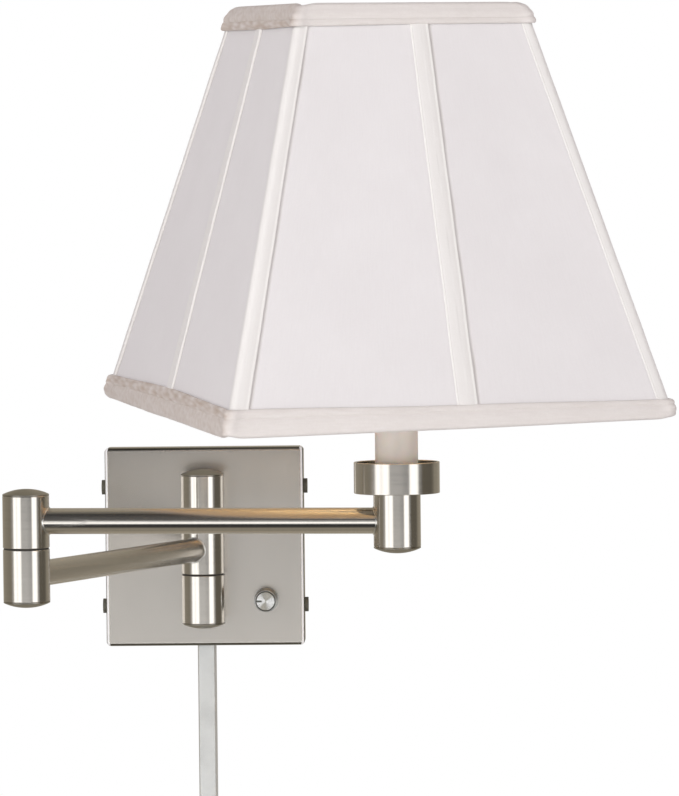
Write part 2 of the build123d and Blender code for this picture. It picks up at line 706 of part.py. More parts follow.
with BuildPart() as end_knuckle:
    with BuildSketch(Plane.XY.offset(END_LOW)):
        with Locations(END):
            Circle(KNUCKLE_R)
    extrude(amount=STACK_TOP - END_LOW)
    fillet(end_knuckle.edges().filter_by(GeomType.CIRCLE), EDGE_R)
    with BuildSketch(Plane.XY.offset(END_LOW)):
        with Locations(END):
            Circle(POCKET_R)
    extrude(amount=CAP_PLUG + 0.5, mode=Mode.SUBTRACT)
    with BuildSketch(Plane.XY.offset(RISER_LOW - 0.2)):
        with Locations(END):
            Circle(PIPE_HOLE_R)
    extrude(amount=SEGMENT, mode=Mode.SUBTRACT)
    with BuildSketch(along_arm(END, (-FRONT_DIR[0], -FRONT_DIR[1]), 0, SEGMENT)):
        Circle(LEAD_HOLE_R)
    extrude(amount=2 * KNUCKLE_R, mode=Mode.SUBTRACT)
end_knuckle.part.label = "end_knuckle"
export_step(end_knuckle.part, "parts/end_knuckle.step")

end_knuckle_cap = domed_cap(END, END_LOW, down=True)
end_knuckle_cap.part.label = "end_knuckle_cap"
export_step(end_knuckle_cap.part, "parts/end_knuckle_cap.step")

with BuildPart() as cup:
    with BuildSketch(Plane.XY.offset(CUP_BASE)):
        with Locations(END):
            Circle(CUP_R)
    extrude(amount=CUP_HEIGHT)
    with BuildSketch(Plane.XY.offset(CUP_FLOOR_TOP)):
        with Locations(END):
            Circle(CUP_R - CUP_WALL)
    extrude(amount=CUP_HEIGHT, mode=Mode.SUBTRACT)
    rims = cup.edges().filter_by(GeomType.CIRCLE).sort_by(SortBy.RADIUS)
    fillet(rims, EDGE_R)
    with BuildSketch(Plane.XY.offset(CUP_BASE - 1)):
        with Locations(END):
            Circle(PIPE_HOLE_R)
    extrude(amount=CUP_FLOOR + 2, mode=Mode.SUBTRACT)
cup.part.label = "cup"
export_step(cup.part, "parts/cup.step")

riser_nipple = pipe(END, RISER_LOW, SADDLE_TOP + 10)
riser_nipple.part.label = "riser_nipple"
export_step(riser_nipple.part, "parts/riser_nipple.step")

cup_nut = hex_nut(END, CUP_FLOOR_TOP + 0.1)
cup_nut.part.label = "cup_nut"
export_step(cup_nut.part, "parts/cup_nut.step")

with BuildPart() as candle_sleeve:
    with BuildSketch(Plane.XY.offset(CUP_FLOOR_TOP + 0.1)):
        with Locations(END):
            Circle(SLEEVE_R)
            Circle(SLEEVE_R - SLEEVE_WALL, mode=Mode.SUBTRACT)
    extrude(amount=SADDLE_Z - CUP_FLOOR_TOP - 0.2)
candle_sleeve.part.label = "candle_sleeve"
export_step(candle_sleeve.part, "parts/candle_sleeve.step")

with BuildPart() as front_arm_lead:
    with BuildSketch(along_arm(ELBOW, FRONT_DIR, LEAD_INSET, SEGMENT)):
        Circle(LEAD_R)
    extrude(amount=ARM - 2 * LEAD_INSET)
    with BuildSketch(Plane.XY.offset(RISER_LOW + 1)):
        with Locations(END):
            Circle(LEAD_R)
    extrude(amount=SADDLE_TOP + 8 - RISER_LOW)
front_arm_lead.part.label = "front_arm_lead"
export_step(front_arm_lead.part, "parts/front_arm_lead.step")

# ---------------------------------------------------------------- socket, bulb and harp

TAB_WIDTH = 5.6
TAB_HEIGHT = 7.0

with BuildPart() as harp_saddle:
    with BuildSketch(upright(END, SADDLE_Z)):
        with BuildLine():
            Polyline(
                (-SADDLE_REACH, 0),
                (SADDLE_REACH, 0),
                (SADDLE_REACH, SADDLE_SHEET + TAB_HEIGHT),
                (SADDLE_REACH - SADDLE_SHEET, SADDLE_SHEET + TAB_HEIGHT),
                (SADDLE_REACH - SADDLE_SHEET, SADDLE_SHEET),
                (-SADDLE_REACH + SADDLE_SHEET, SADDLE_SHEET),
                (-SADDLE_REACH + SADDLE_SHEET, SADDLE_SHEET + TAB_HEIGHT),
                (-SADDLE_REACH, SADDLE_SHEET + TAB_HEIGHT),
                close=True,
            )
        make_face()
    extrude(amount=SADDLE_WIDTH / 2, both=True)
    for side in (-1, 1):
        with BuildSketch(Plane.XY.offset(SADDLE_TOP)):
            with Locations((END[0], END[1] + side * (TAB_WIDTH / 2 + SADDLE_WIDTH / 2))):
                Rectangle(3 * SADDLE_REACH, SADDLE_WIDTH)
        extrude(amount=TAB_HEIGHT + 1, mode=Mode.SUBTRACT)
    with BuildSketch(Plane.XY.offset(SADDLE_Z)):
        with Locations(END):
            Circle(PIPE_HOLE_R)
    extrude(amount=SADDLE_SHEET, mode=Mode.SUBTRACT)
harp_saddle.part.label = "harp_saddle"
export_step(harp_saddle.part, "parts/harp_saddle.step")

with BuildPart() as socket_cap:
    with BuildSketch(upright(END, SADDLE_TOP + 0.1)):
        with BuildLine():
            Polyline(
                (PIPE_HOLE_R, 0),
                (10, 0),
                (SOCKET_CAP_R, 6),
                (SOCKET_CAP_R, SOCKET_CAP_RISE),
                (SOCKET_CAP_R - SHELL_WALL, SOCKET_CAP_RISE),
                (SOCKET_CAP_R - SHELL_WALL, 6.6),
                (9.6, 0.9),
                (PIPE_HOLE_R, 0.9),
                close=True,
            )
        make_face()
    revolve(axis=pivot_axis(END))
socket_cap.part.label = "socket_cap"
export_step(socket_cap.part, "parts/socket_cap.step")


def ring_wall(outer, inner, low, high):
    """A plain upright tube about the candle's centre line."""
    with BuildPart() as tube:
        with BuildSketch(Plane.XY.offset(low)):
            with Locations(END):
                Circle(outer)
                Circle(inner, mode=Mode.SUBTRACT)
        extrude(amount=high - low)
    return tube


socket_shell = ring_wall(SHELL_R, SHELL_R - SHELL_WALL, SADDLE_TOP + 8, SOCKET_TOP)
socket_shell.part.label = "socket_shell"
export_step(socket_shell.part, "parts/socket_shell.step")

INSULATOR_R = SHELL_R - SHELL_WALL - 0.1
INSULATOR_INNER_R = INSULATOR_R - 0.8
SOCKET_BASE_LOW = SADDLE_TOP + 13

socket_insulator = ring_wall(INSULATOR_R, INSULATOR_INNER_R, SOCKET_BASE_LOW, SOCKET_TOP - 1)
socket_insulator.part.label = "socket_insulator"
export_step(socket_insulator.part, "parts/socket_insulator.step")

SOCKET_FLOOR = SADDLE_TOP + 22

with BuildPart() as socket_base:
    with BuildSketch(Plane.XY.offset(SOCKET_BASE_LOW)):
        with Locations(END):
            Circle(INSULATOR_INNER_R - 0.1)
    extrude(amount=SOCKET_FLOOR - SOCKET_BASE_LOW)
socket_base.part.label = "socket_base"
export_step(socket_base.part, "parts/socket_base.step")

SCREW_SHELL_R = 14.2

screw_shell = ring_wall(SCREW_SHELL_R, SCREW_SHELL_R - 0.5, SOCKET_FLOOR + 0.1, SOCKET_TOP - 4)
screw_shell.part.label = "screw_shell"
export_step(screw_shell.part, "parts/screw_shell.step")

with BuildPart() as socket_contact:
    with BuildSketch(Plane.XY.offset(SOCKET_FLOOR + 0.1)):
        with Locations(END):
            Circle(CONTACT_R)
    extrude(amount=1.5)
socket_contact.part.label = "socket_contact"
export_step(socket_contact.part, "parts/socket_contact.step")

BULB_FOOT = SOCKET_FLOOR + 1.8

with BuildPart() as bulb_base:
    with BuildSketch(upright(END, BULB_FOOT)):
        with BuildLine():
            Polyline(
                (0, 0),
                (4.5, 0),
                (9, 4),
                (BULB_CAP_R, 6),
                (BULB_CAP_R, BULB_CAP),
                (0, BULB_CAP),
                (0, 0),
            )
        make_face()
    revolve(axis=pivot_axis(END))
bulb_base.part.label = "bulb_base"
export_step(bulb_base.part, "parts/bulb_base.step")

BULB_NECK = BULB_FOOT + BULB_CAP + 0.1
NECK_R = BULB_CAP_R - 0.3

with BuildPart() as bulb_glass:
    with BuildSketch(upright(END, 0)):
        with BuildLine():
            Line((0, BULB_NECK), (NECK_R, BULB_NECK))
            Spline(
                (NECK_R, BULB_NECK),
                (BULB_R, BULB_EQUATOR),
                tangents=((0.1, 1), (0, 1)),
            )
            ThreePointArc(
                (BULB_R, BULB_EQUATOR),
                (BULB_R * cos(radians(45)), BULB_EQUATOR + BULB_R * sin(radians(45))),
                (0, BULB_EQUATOR + BULB_R),
            )
            Line((0, BULB_EQUATOR + BULB_R), (0, BULB_NECK))
        make_face()
    revolve(axis=pivot_axis(END))
bulb_glass.part.label = "bulb_glass"
export_step(bulb_glass.part, "parts/bulb_glass.step")

FERRULE_LOW = 2.8
FERRULE_TOP = 18.0
FERRULE_R = 4.4
HARP_WIDE_FROM = 64.0
HARP_WIDE_TO = 136.0
HARP_TOP_HALF_W = 24.0
HARP_BEND_R = 9.0
HARP_TOP = HARP_HEIGHT - 6.0
FOOT_X = SADDLE_REACH - SADDLE_SHEET / 2

with BuildPart() as harp:
    with BuildLine(HARP_PLANE) as harp_path:
        FilletPolyline(
            (-FOOT_X, TAB_HEIGHT + 1.5),
            (-FOOT_X, FERRULE_TOP + 3),
            (-HARP_HALF_W, HARP_WIDE_FROM),
            (-HARP_HALF_W, HARP_WIDE_TO),
            (-HARP_TOP_HALF_W, HARP_TOP),
            (HARP_TOP_HALF_W, HARP_TOP),
            (HARP_HALF_W, HARP_WIDE_TO),
            (HARP_HALF_W, HARP_WIDE_FROM),
            (FOOT_X, FERRULE_TOP + 3),
            (FOOT_X, TAB_HEIGHT + 1.5),
            radius=HARP_BEND_R,
        )
    with BuildSketch(Plane(origin=harp_path.line @ 0, z_dir=harp_path.line % 0)):
        Circle(HARP_WIRE_R)
    sweep()
harp.part.label = "harp"
export_step(harp.part, "parts/harp.step")

with BuildPart() as harp_ferrules:
    for side in (-1, 1):
        foot = HARP_PLANE.from_local_coords((side * FOOT_X, FERRULE_LOW, 0))
        with BuildSketch(Plane(origin=foot, z_dir=HARP_UP)):
            Circle(FERRULE_R)
            Circle(FERRULE_R - 0.9, mode=Mode.SUBTRACT)
        extrude(amount=FERRULE_TOP - FERRULE_LOW)
harp_ferrules.part.label = "harp_ferrules"
export_step(harp_ferrules.part, "parts/harp_ferrules.step")

SEAT_TOP = -0.15
STUD_R = 3.17
BOSS_R = 5.5
SPIDER_HOLE_R = 5.58
SPIDER_SHEET = 1.6
STUD_SLEEVE_R = 3.6
STUD_SLEEVE_LOW = -9.5
SEAT_R = 8.0
SEAT_SHEET = 2.0
STUD_LENGTH = 11.0

# The threaded stud at the harp's top, in line with the shade's axis.
with BuildPart() as harp_stud:
    with BuildSketch(SHADE_PLANE.offset(STUD_SLEEVE_LOW)):
        Circle(STUD_SLEEVE_R)
    extrude(amount=-STUD_SLEEVE_LOW - 0.5)
    with BuildSketch(SHADE_PLANE.offset(SEAT_TOP - SEAT_SHEET)):
        Circle(SEAT_R)
    extrude(amount=SEAT_SHEET)
    with BuildSketch(SHADE_PLANE.offset(SEAT_TOP)):
        Circle(BOSS_R)
    extrude(amount=SPIDER_SHEET)
    with BuildSketch(SHADE_PLANE.offset(SEAT_TOP)):
        Circle(STUD_R)
    extrude(amount=STUD_LENGTH)
    through = HARP_PLANE.from_local_coords((-20, HARP_TOP, 0))
    with BuildSketch(Plane(origin=through, z_dir=HARP_PLANE.x_dir)):
        Circle(HARP_WIRE_R + 0.03)
    extrude(amount=40, mode=Mode.SUBTRACT)
harp_stud.part.label = "harp_stud"
export_step(harp_stud.part, "parts/harp_stud.step")

# The finial screws down on the stud and holds the shade's spider on the seat.
FINIAL_LOW = 1.9
FINIAL_FOOT_R = 7.0
FINIAL_NECK_R = 4.6
FINIAL_TOP = 15.6

with BuildPart() as finial:
    with BuildSketch(Plane(origin=SHADE_SEAT, x_dir=SHADE_PLANE.x_dir, z_dir=-SHADE_PLANE.y_dir)):
        with BuildLine():
            Polyline(
                (0, FINIAL_LOW),
                (FINIAL_FOOT_R, FINIAL_LOW),
                (FINIAL_FOOT_R, 3.6),
                (FINIAL_NECK_R, 6),
            )
            RadiusArc((FINIAL_NECK_R, 6), (FINIAL_NECK_R, 14), -4.8)
            Polyline((FINIAL_NECK_R, 14), (3, FINIAL_TOP), (0, FINIAL_TOP), (0, FINIAL_LOW))
        make_face()
    revolve(axis=Axis(SHADE_PLANE.origin, SHADE_PLANE.z_dir))
    with BuildSketch(SHADE_PLANE):
        Circle(STUD_R + 0.08)
    extrude(amount=STUD_LENGTH + 0.4, mode=Mode.SUBTRACT)
finial.part.label = "finial"
export_step(finial.part, "parts/finial.step")

# ---------------------------------------------------------------- shade

RIM_FROM_EDGE = 4.5
RIM_TOP = SHADE_TOP - RIM_FROM_EDGE
RIM_BOTTOM = SHADE_BOTTOM + RIM_FROM_EDGE
RIM_CORNER_R = 4.0


def rim_wire(height):
    """A square wire ring with rounded corners, at one end of the shade."""
    half = half_width(height, RIM_INSET)
    plane = SHADE_PLANE.offset(height)
    with BuildPart() as ring:
        with BuildLine(plane) as path:
            FilletPolyline(
                (-half, -half),
                (half, -half),
                (half, half),
                (-half, half),
                radius=RIM_CORNER_R,
                close=True,
            )
        start = path.line @ 0
        with BuildSketch(Plane(origin=start, z_dir=path.line % 0)):
            Circle(RIM_WIRE_R)
        sweep()
    return ring


shade_top_ring = rim_wire(RIM_TOP)
shade_top_ring.part.label = "shade_top_ring"
export_step(shade_top_ring.part, "parts/shade_top_ring.step")

shade_bottom_ring = rim_wire(RIM_BOTTOM)
shade_bottom_ring.part.label = "shade_bottom_ring"
export_step(shade_bottom_ring.part, "parts/shade_bottom_ring.step")

RIB_GAP = RIM_WIRE_R + 0.2
COMPASS = [(x, y) for x in (-1, 0, 1) for y in (-1, 0, 1) if (x, y) != (0, 0)]


def on_frame(height, x_sign, y_sign):
    """A point on the wire frame's tapering side or corner, in the row's frame."""
    half = half_width(height, RIM_INSET)
    corner = RIM_CORNER_R * (1 - cos(radians(45))) if x_sign and y_sign else 0
    x = x_sign * (half - corner) + seam_shift(height, x_sign, y_sign)
    return SHADE_PLANE.from_local_coords((x, y_sign * (half - corner), height))


rib_ends = [
    (Vector(on_frame(RIM_BOTTOM + RIB_GAP, x, y)), Vector(on_frame(RIM_TOP - RIB_GAP, x, y)))
    for x, y in COMPASS
]
shade_ribs = rods(rib_ends, RIB_WIRE_R)
shade_ribs.part.label = "shade_ribs"
export_step(shade_ribs.part, "parts/shade_ribs.step")

SPIDER_DISC_R = 13.0
SPIDER_WIRE_R = 1.4
SPIDER_WELD_AT = 10.5
SPIDER_REACH = half_width(RIM_TOP, RIM_INSET) - RIM_WIRE_R - 0.1
spider_ends = [
    (
        Vector(SHADE_PLANE.from_local_coords((x * SPIDER_WELD_AT, y * SPIDER_WELD_AT, SPIDER_SHEET))),
        Vector(SHADE_PLANE.from_local_coords((x * SPIDER_REACH, y * SPIDER_REACH, RIM_TOP))),
    )
    for x, y in ((1, 0), (0, 1), (-1, 0), (0, -1))
]

# The spider is a flat washer on four sloping wires that reach the top ring.
with BuildPart() as spider:
    with BuildSketch(SHADE_PLANE):
        Circle(SPIDER_DISC_R)
        Circle(SPIDER_HOLE_R, mode=Mode.SUBTRACT)
    extrude(amount=SPIDER_SHEET)
    add(rods(spider_ends, SPIDER_WIRE_R).part)
    with BuildSketch(SHADE_PLANE.offset(-3)):
        Circle(SPIDER_DISC_R + 1)
    extrude(amount=3, mode=Mode.SUBTRACT)
spider.part.label = "spider"
export_step(spider.part, "parts/spider.step")

CLOTH_FROM_EDGE = 1.0
CLOTH_LOW = SHADE_BOTTOM + CLOTH_FROM_EDGE
CLOTH_HIGH = SHADE_TOP - CLOTH_FROM_EDGE

shade_cover = shade_wall(CLOTH_LOW, CLOTH_HIGH, COVER_CLOTH_OUTER, COVER_CLOTH_INNER)
shade_cover.part.label = "shade_cover"
export_step(shade_cover.part, "parts/shade_cover.step")

# The lining has a small slit for each of the spider's wires.
with BuildPart() as shade_lining:
    add(shade_wall(CLOTH_LOW, CLOTH_HIGH, LINING_OUTER, LINING_INNER).part)
    add(rods(spider_ends, SPIDER_WIRE_R + 0.3).part, mode=Mode.SUBTRACT)
shade_lining.part.label = "shade_lining"
export_step(shade_lining.part, "parts/shade_lining.step")

# Bias tapes over the eight seams: a thin outer skin, cut down to strips at corners and mid-sides.
with BuildPart() as tape_strips:
    for x, y in COMPASS:
        for height in (CLOTH_LOW, CLOTH_HIGH):
            reach = half_width(height, TAPE_OUTER)
            with BuildSketch(SHADE_PLANE.offset(height)):
                with Locations((x * reach + seam_shift(height, x, y), y * reach)):
                    Rectangle(2 * TAPE_HALF, 2 * TAPE_HALF)
        loft()

with BuildPart() as seam_tapes:
    add(shade_wall(CLOTH_LOW, CLOTH_HIGH, TAPE_OUTER, TAPE_INNER).part)
    add(tape_strips.part, mode=Mode.INTERSECT)
seam_tapes.part.label = "seam_tapes"
export_step(seam_tapes.part, "parts/seam_tapes.step")


def trim_band(low, high, lip_low):
    """The edging round one end of the shade: an outer band and a lip turned in over the edge."""
    with BuildPart() as band:
        add(shade_wall(low, high, 0, TRIM_INNER).part)
        add(shade_wall(lip_low, lip_low + TRIM_LIP, 0, LINING_INNER).part)
    return band


top_trim = trim_band(SHADE_TOP - TRIM_BAND, SHADE_TOP, SHADE_TOP - TRIM_LIP)
top_trim.part.label = "top_trim"
export_step(top_trim.part, "parts/top_trim.step")

bottom_trim = trim_band(SHADE_BOTTOM, SHADE_BOTTOM + TRIM_BAND, SHADE_BOTTOM)
bottom_trim.part.label = "bottom_trim"
export_step(bottom_trim.part, "parts/bottom_trim.step")
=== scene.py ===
import json
import math

import bmesh
import bpy
from mathutils import Matrix, Vector, noise


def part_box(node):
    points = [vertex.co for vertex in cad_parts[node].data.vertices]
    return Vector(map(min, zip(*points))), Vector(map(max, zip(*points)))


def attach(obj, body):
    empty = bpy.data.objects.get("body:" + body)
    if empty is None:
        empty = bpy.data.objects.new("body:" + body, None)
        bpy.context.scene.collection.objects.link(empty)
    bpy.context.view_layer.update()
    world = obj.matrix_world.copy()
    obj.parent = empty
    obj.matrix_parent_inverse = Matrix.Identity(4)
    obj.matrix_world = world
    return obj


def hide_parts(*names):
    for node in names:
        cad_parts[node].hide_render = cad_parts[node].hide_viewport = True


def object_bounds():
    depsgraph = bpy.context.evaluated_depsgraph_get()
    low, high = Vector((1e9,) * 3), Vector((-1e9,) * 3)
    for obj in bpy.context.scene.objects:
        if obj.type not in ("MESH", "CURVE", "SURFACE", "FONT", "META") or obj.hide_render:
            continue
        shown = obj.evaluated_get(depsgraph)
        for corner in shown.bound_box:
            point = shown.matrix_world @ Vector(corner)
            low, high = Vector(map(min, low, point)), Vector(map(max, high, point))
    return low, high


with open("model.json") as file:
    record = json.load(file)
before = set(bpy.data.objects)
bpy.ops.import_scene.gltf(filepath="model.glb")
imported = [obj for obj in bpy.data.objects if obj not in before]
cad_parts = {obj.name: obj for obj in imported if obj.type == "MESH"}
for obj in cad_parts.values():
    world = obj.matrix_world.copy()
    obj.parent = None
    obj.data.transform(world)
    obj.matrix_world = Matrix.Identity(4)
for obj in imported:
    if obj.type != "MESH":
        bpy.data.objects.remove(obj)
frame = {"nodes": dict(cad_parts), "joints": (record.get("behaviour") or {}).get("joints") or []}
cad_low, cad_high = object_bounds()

# A swing-arm wall lamp. The CAD frame holds the metalwork, the socket and the wire frame of the shade.
# This script sews the shade's cloth, gives every piece its material, and sets the studio.
# Metres, +Z up, the wall at Y = 0 and the front towards -Y.

# Shade: heights are measured up the shade's axis from its seat on the harp
SHADE_TURN = math.radians(19)
SHADE_TOP = 0.020
SHADE_BOTTOM = -0.223
SHADE_TOP_HALF = 0.071
SHADE_BOTTOM_HALF = 0.138
SHADE_CORNER = 0.005
LEAST_CORNER = 0.001
QUARTER = math.pi / 2
FACE_NAMES = ("front", "right", "back", "left")

# Panels, tapes and lining: depths are measured in from the outside of the trim, cloths are thicknesses
PANEL_DEPTH = 0.0021
PANEL_CLOTH = 0.0005
PANEL_SAG = 0.0010
TAPE_CLOTH = 0.0005
TAPE_WIDTH_TOP = 0.0112
TAPE_WIDTH_BOTTOM = 0.0128
LINING_DEPTH = 0.0062
LINING_CLOTH = 0.0004
TUCK = 0.006
LINING_TUCK = 0.004

# Trim: the band wraps the rim's wire in a roll, and the fold laps over the band's upper edge
BAND_CLOTH = 0.0006
BAND_DEPTH = 0.00022
BAND_BELLY = 0.00045
ROLL_CENTRE = 0.0031
ROLL_REACH = 0.0030
ROLL_DEPTH = 0.0033
FOLD_CLOTH = 0.0005
FOLD_LAP = 0.0006
FOLD_FOOT = 0.00185
FOLD_PUFF = 0.00143
CORNER_REACH = 0.005
CORNER_BULK = 0.0018
CORNER_DROOP = 0.0013

# How far two hand-sewn seams run to the right of their ribs' usual places, at the top and the bottom
SEAM_SHIFT = {("front", "middle"): (0.0020, 0.0095), ("left", "corner"): (0.0008, 0.0036)}

# Trim sizes in millimetres at eight places round a rim: front left corner, front, front right, right,
# back right, back, back left and left. Band and fold are heights; hang is how far the hem comes down.
TRIM_SIZES = {
    "top_trim": {
        "band": (9.8, 9.6, 9.6, 9.8, 10.0, 10.0, 10.0, 9.6),
        "fold": (3.4, 2.8, 2.6, 3.2, 3.6, 3.8, 4.2, 4.6),
        "hang": (0.0,) * 8,
    },
    "bottom_trim": {
        "band": (10.0, 9.5, 8.9, 9.8, 10.4, 10.2, 10.4, 10.6),
        "fold": (4.3, 2.6, 1.8, 3.2, 4.0, 4.2, 4.3, 5.9),
        "hang": (1.5, 1.3, 0.5, 0.3, 0.2, -0.2, -0.7, 0.4),
    },
}

# Camera of the photograph's view
CAMERA_PLACE = (0.14333, -2.58506, 0.19003)
CAMERA_YAW = math.radians(1.156)
CAMERA_PITCH = math.radians(-2.031)
CAMERA_ROLL = math.radians(-0.569)
CAMERA_LENS = 173.48
SENSOR = 36.0


def middle_of(node):
    """The middle of a CAD node's box."""
    low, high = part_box(node)
    return (low + high) / 2


def size_of(node):
    """The size of a CAD node's box along X, Y and Z."""
    low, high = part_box(node)
    return high - low


JOINTS = {joint["name"]: joint for joint in frame["joints"]}
REAR_PIVOT = Vector(JOINTS["rear_arm_swing"]["pos_m"])
ELBOW_PIVOT = Vector(JOINTS["front_arm_swing"]["pos_m"])
SEAT = Vector(JOINTS["shade_turn"]["pos_m"])
SHADE_UP = Vector(JOINTS["shade_turn"]["axis"]).normalized()
SHADE_RIGHT = Matrix.Rotation(SHADE_TURN, 3, SHADE_UP) @ Vector((1, 0, 0))
SHADE_BACK = SHADE_UP.cross(SHADE_RIGHT)
KNUCKLE_R = size_of("rear_knuckle").x / 2
ARM_R = size_of("rear_arm_tube").z / 2
BEAD_R = 0.00046
REAR_RUN = ELBOW_PIVOT - REAR_PIVOT
REAR_YAW = math.atan2(REAR_RUN.y, REAR_RUN.x)
FRONT_YAW = -math.atan2(size_of("front_arm_tube").y - 2 * ARM_R, size_of("front_arm_tube").x)


# ---------------- shade geometry

def half_width(height, depth):
    """Half the shade's width at a height, some depth in from its outside."""
    slope = (SHADE_BOTTOM_HALF - SHADE_TOP_HALF) / (SHADE_TOP - SHADE_BOTTOM)
    return SHADE_TOP_HALF + slope * (SHADE_TOP - height) - depth


def corner_radius(depth):
    """The corner's radius at that depth in."""
    return max(SHADE_CORNER - depth, LEAST_CORNER)


def corner_at(height, depth):
    """How far along a face, from its middle, the middle of the rounded corner is."""
    radius = corner_radius(depth)
    return half_width(height, depth) - radius + radius * QUARTER / 2


def outline(face, along, height, depth):
    """A point of the shade's rounded square outline, in the shade's own axes, and its outward direction.

    Faces count from the front, anticlockwise from above; along is measured to the right from a face's middle.
    """
    radius = corner_radius(depth)
    straight = half_width(height, depth) - radius
    side = 1 if along >= 0 else -1
    turned = min(max(0.0, abs(along) - straight) / radius, QUARTER)
    past = max(0.0, abs(along) - straight - turned * radius)
    x = side * (min(abs(along), straight) + radius * math.sin(turned))
    y = -straight - radius * math.cos(turned) + past
    turn = Matrix.Rotation(face * QUARTER, 2)
    point = turn @ Vector((x, y))
    out = turn @ Vector((side * math.sin(turned), -math.cos(turned)))
    return Vector((point.x, point.y, height)), Vector((out.x, out.y, 0))


def placed(point):
    """A point of the shade's own axes, in the row frame."""
    return SEAT + SHADE_RIGHT * point.x + SHADE_BACK * point.y + SHADE_UP * point.z


def smooth_step(value):
    """0 below 0, 1 above 1 and an even rise between."""
    t = min(max(value, 0.0), 1.0)
    return t * t * (3 - 2 * t)


def hump(offset, width):
    """1 at no offset, falling away smoothly over the width."""
    return math.exp(-(offset / width) ** 2)


def near_ends(share, reach):
    """1 at both ends of a run, falling to 0 a reach away from them."""
    return max(0.0, 1 - min(share, 1 - share) / reach)


def ripple(point, size, seed):
    """Noise from -1 to 1 whose lumps are about that size along x, y and z."""
    scaled = Vector((point.x / size[0], point.y / size[1], point.z / size[2]))
    return noise.noise(scaled + Vector((seed, 2 * seed, 3 * seed)))


def side_weight(out):
    """How loosely the trim is gathered: most on the left face, least on the front; it also scales the painted
    shade.
    """
    weight = 0.14
    for outward, extra in ((-out.x, 0.86), (out.y, 0.45), (out.x, 0.22)):
        weight += extra * max(0.0, outward) ** 2
    return weight


def seam_shift(face, kind, height):
    """How far a face's middle or corner seam is set to the right at a height."""
    top, bottom = SEAM_SHIFT.get((FACE_NAMES[face % 4], kind), (0.0, 0.0))
    return bottom + (top - bottom) * (height - SHADE_BOTTOM) / (SHADE_TOP - SHADE_BOTTOM)


def tape_half(height):
    """Half a tape's width at a height."""
    share = (height - SHADE_BOTTOM) / (SHADE_TOP - SHADE_BOTTOM)
    return (TAPE_WIDTH_BOTTOM + (TAPE_WIDTH_TOP - TAPE_WIDTH_BOTTOM) * share) / 2


def levels(rises, low, high):
    """Evenly spaced heights, each with its share of the way up."""
    return [(j / rises, low + (high - low) * j / rises) for j in range(rises + 1)]


def around(values, face, share):
    """A value between eight places round the rim, in metres; share runs from -1 to 1 along the face."""
    place = 2 * face + 1 + share
    first = math.floor(place)
    blend = smooth_step(place - first)
    return (values[first % 8] * (1 - blend) + values[(first + 1) % 8] * blend) / 1000


def mesh_piece(name, rows, material, closed_along=False, closed_across=False, capped=False, painted_shade_rows=None):
    """A mesh of a grid of points in the row frame, with a metre-true UV map for its weave.

    Capped closes the two ends of a long loop. The rows of painted shade hold each point's share of it, 0 to
    1.
    """
    count, width = len(rows), len(rows[0])
    vertices = [point for row in rows for point in row]
    faces, corners_uv = [], []
    along = [0.0]
    for i in range(count):
        along.append(along[-1] + (rows[(i + 1) % count][0] - rows[i][0]).length)
    across = [0.0]
    middle = rows[count // 2]
    for j in range(width):
        across.append(across[-1] + (middle[(j + 1) % width] - middle[j]).length)
    for i in range(count if closed_along else count - 1):
        for j in range(width if closed_across else width - 1):
            k, m = (i + 1) % count, (j + 1) % width
            faces.append((i * width + j, i * width + m, k * width + m, k * width + j))
            steps = ((j, i), (j + 1, i), (j + 1, i + 1), (j, i + 1))
            corners_uv += [(across[n], along[p]) for n, p in steps]
    if capped:
        for row, step in ((0, 1), (count - 1, -1)):
            for j in range(width // 2 - 1):
                quad = (j, width - 1 - j, width - 2 - j, j + 1)[::step]
                faces.append(tuple(row * width + k for k in quad))
                corners_uv += [(across[k], along[row]) for k in quad]
    mesh = bpy.data.meshes.new(name)
    mesh.from_pydata(vertices, [], faces)
    layer = mesh.uv_layers.new(name="weave")
    for k, uv in enumerate(corners_uv):
        layer.data[k].uv = uv
    if painted_shade_rows is not None:
        # The fold attribute carries painted shade, which the cloth shaders multiply into their colour
        depth = mesh.attributes.new("fold", "FLOAT", "POINT")
        depth.data.foreach_set("value", [value for row in painted_shade_rows for value in row])
    mesh.polygons.foreach_set("use_smooth", [True] * len(mesh.polygons))
    mesh.materials.append(material)
    piece = bpy.data.objects.new(name, mesh)
    bpy.context.scene.collection.objects.link(piece)
    return piece


def thicken(piece, cloth):
    """Gives a single layer its cloth thickness, inwards."""
    solid = piece.modifiers.new("thickness", "SOLIDIFY")
    solid.thickness = cloth
    solid.offset = -1.0
    solid.use_even_offset = True


def finished(piece, node):
    """Puts a cloth piece on the shade, in place of its plain CAD node."""
    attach(piece, "shade")
    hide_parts(node)


def panel_places(start, left, right, end):
    """Places across a panel, close together beside the two tapes that bound it."""
    near = (0.0, 0.0004, 0.0008, 0.0013, 0.0019, 0.0026, 0.0036, 0.0050)
    spread = 22
    first, last = left + near[-1], right - near[-1]
    places = [start, (start + left) / 2] + [left + step for step in near[:-1]]
    places += [first + (last - first) * i / spread for i in range(spread + 1)]
    places += [right - step for step in near[-2::-1]] + [(right + end) / 2, end]
    return places


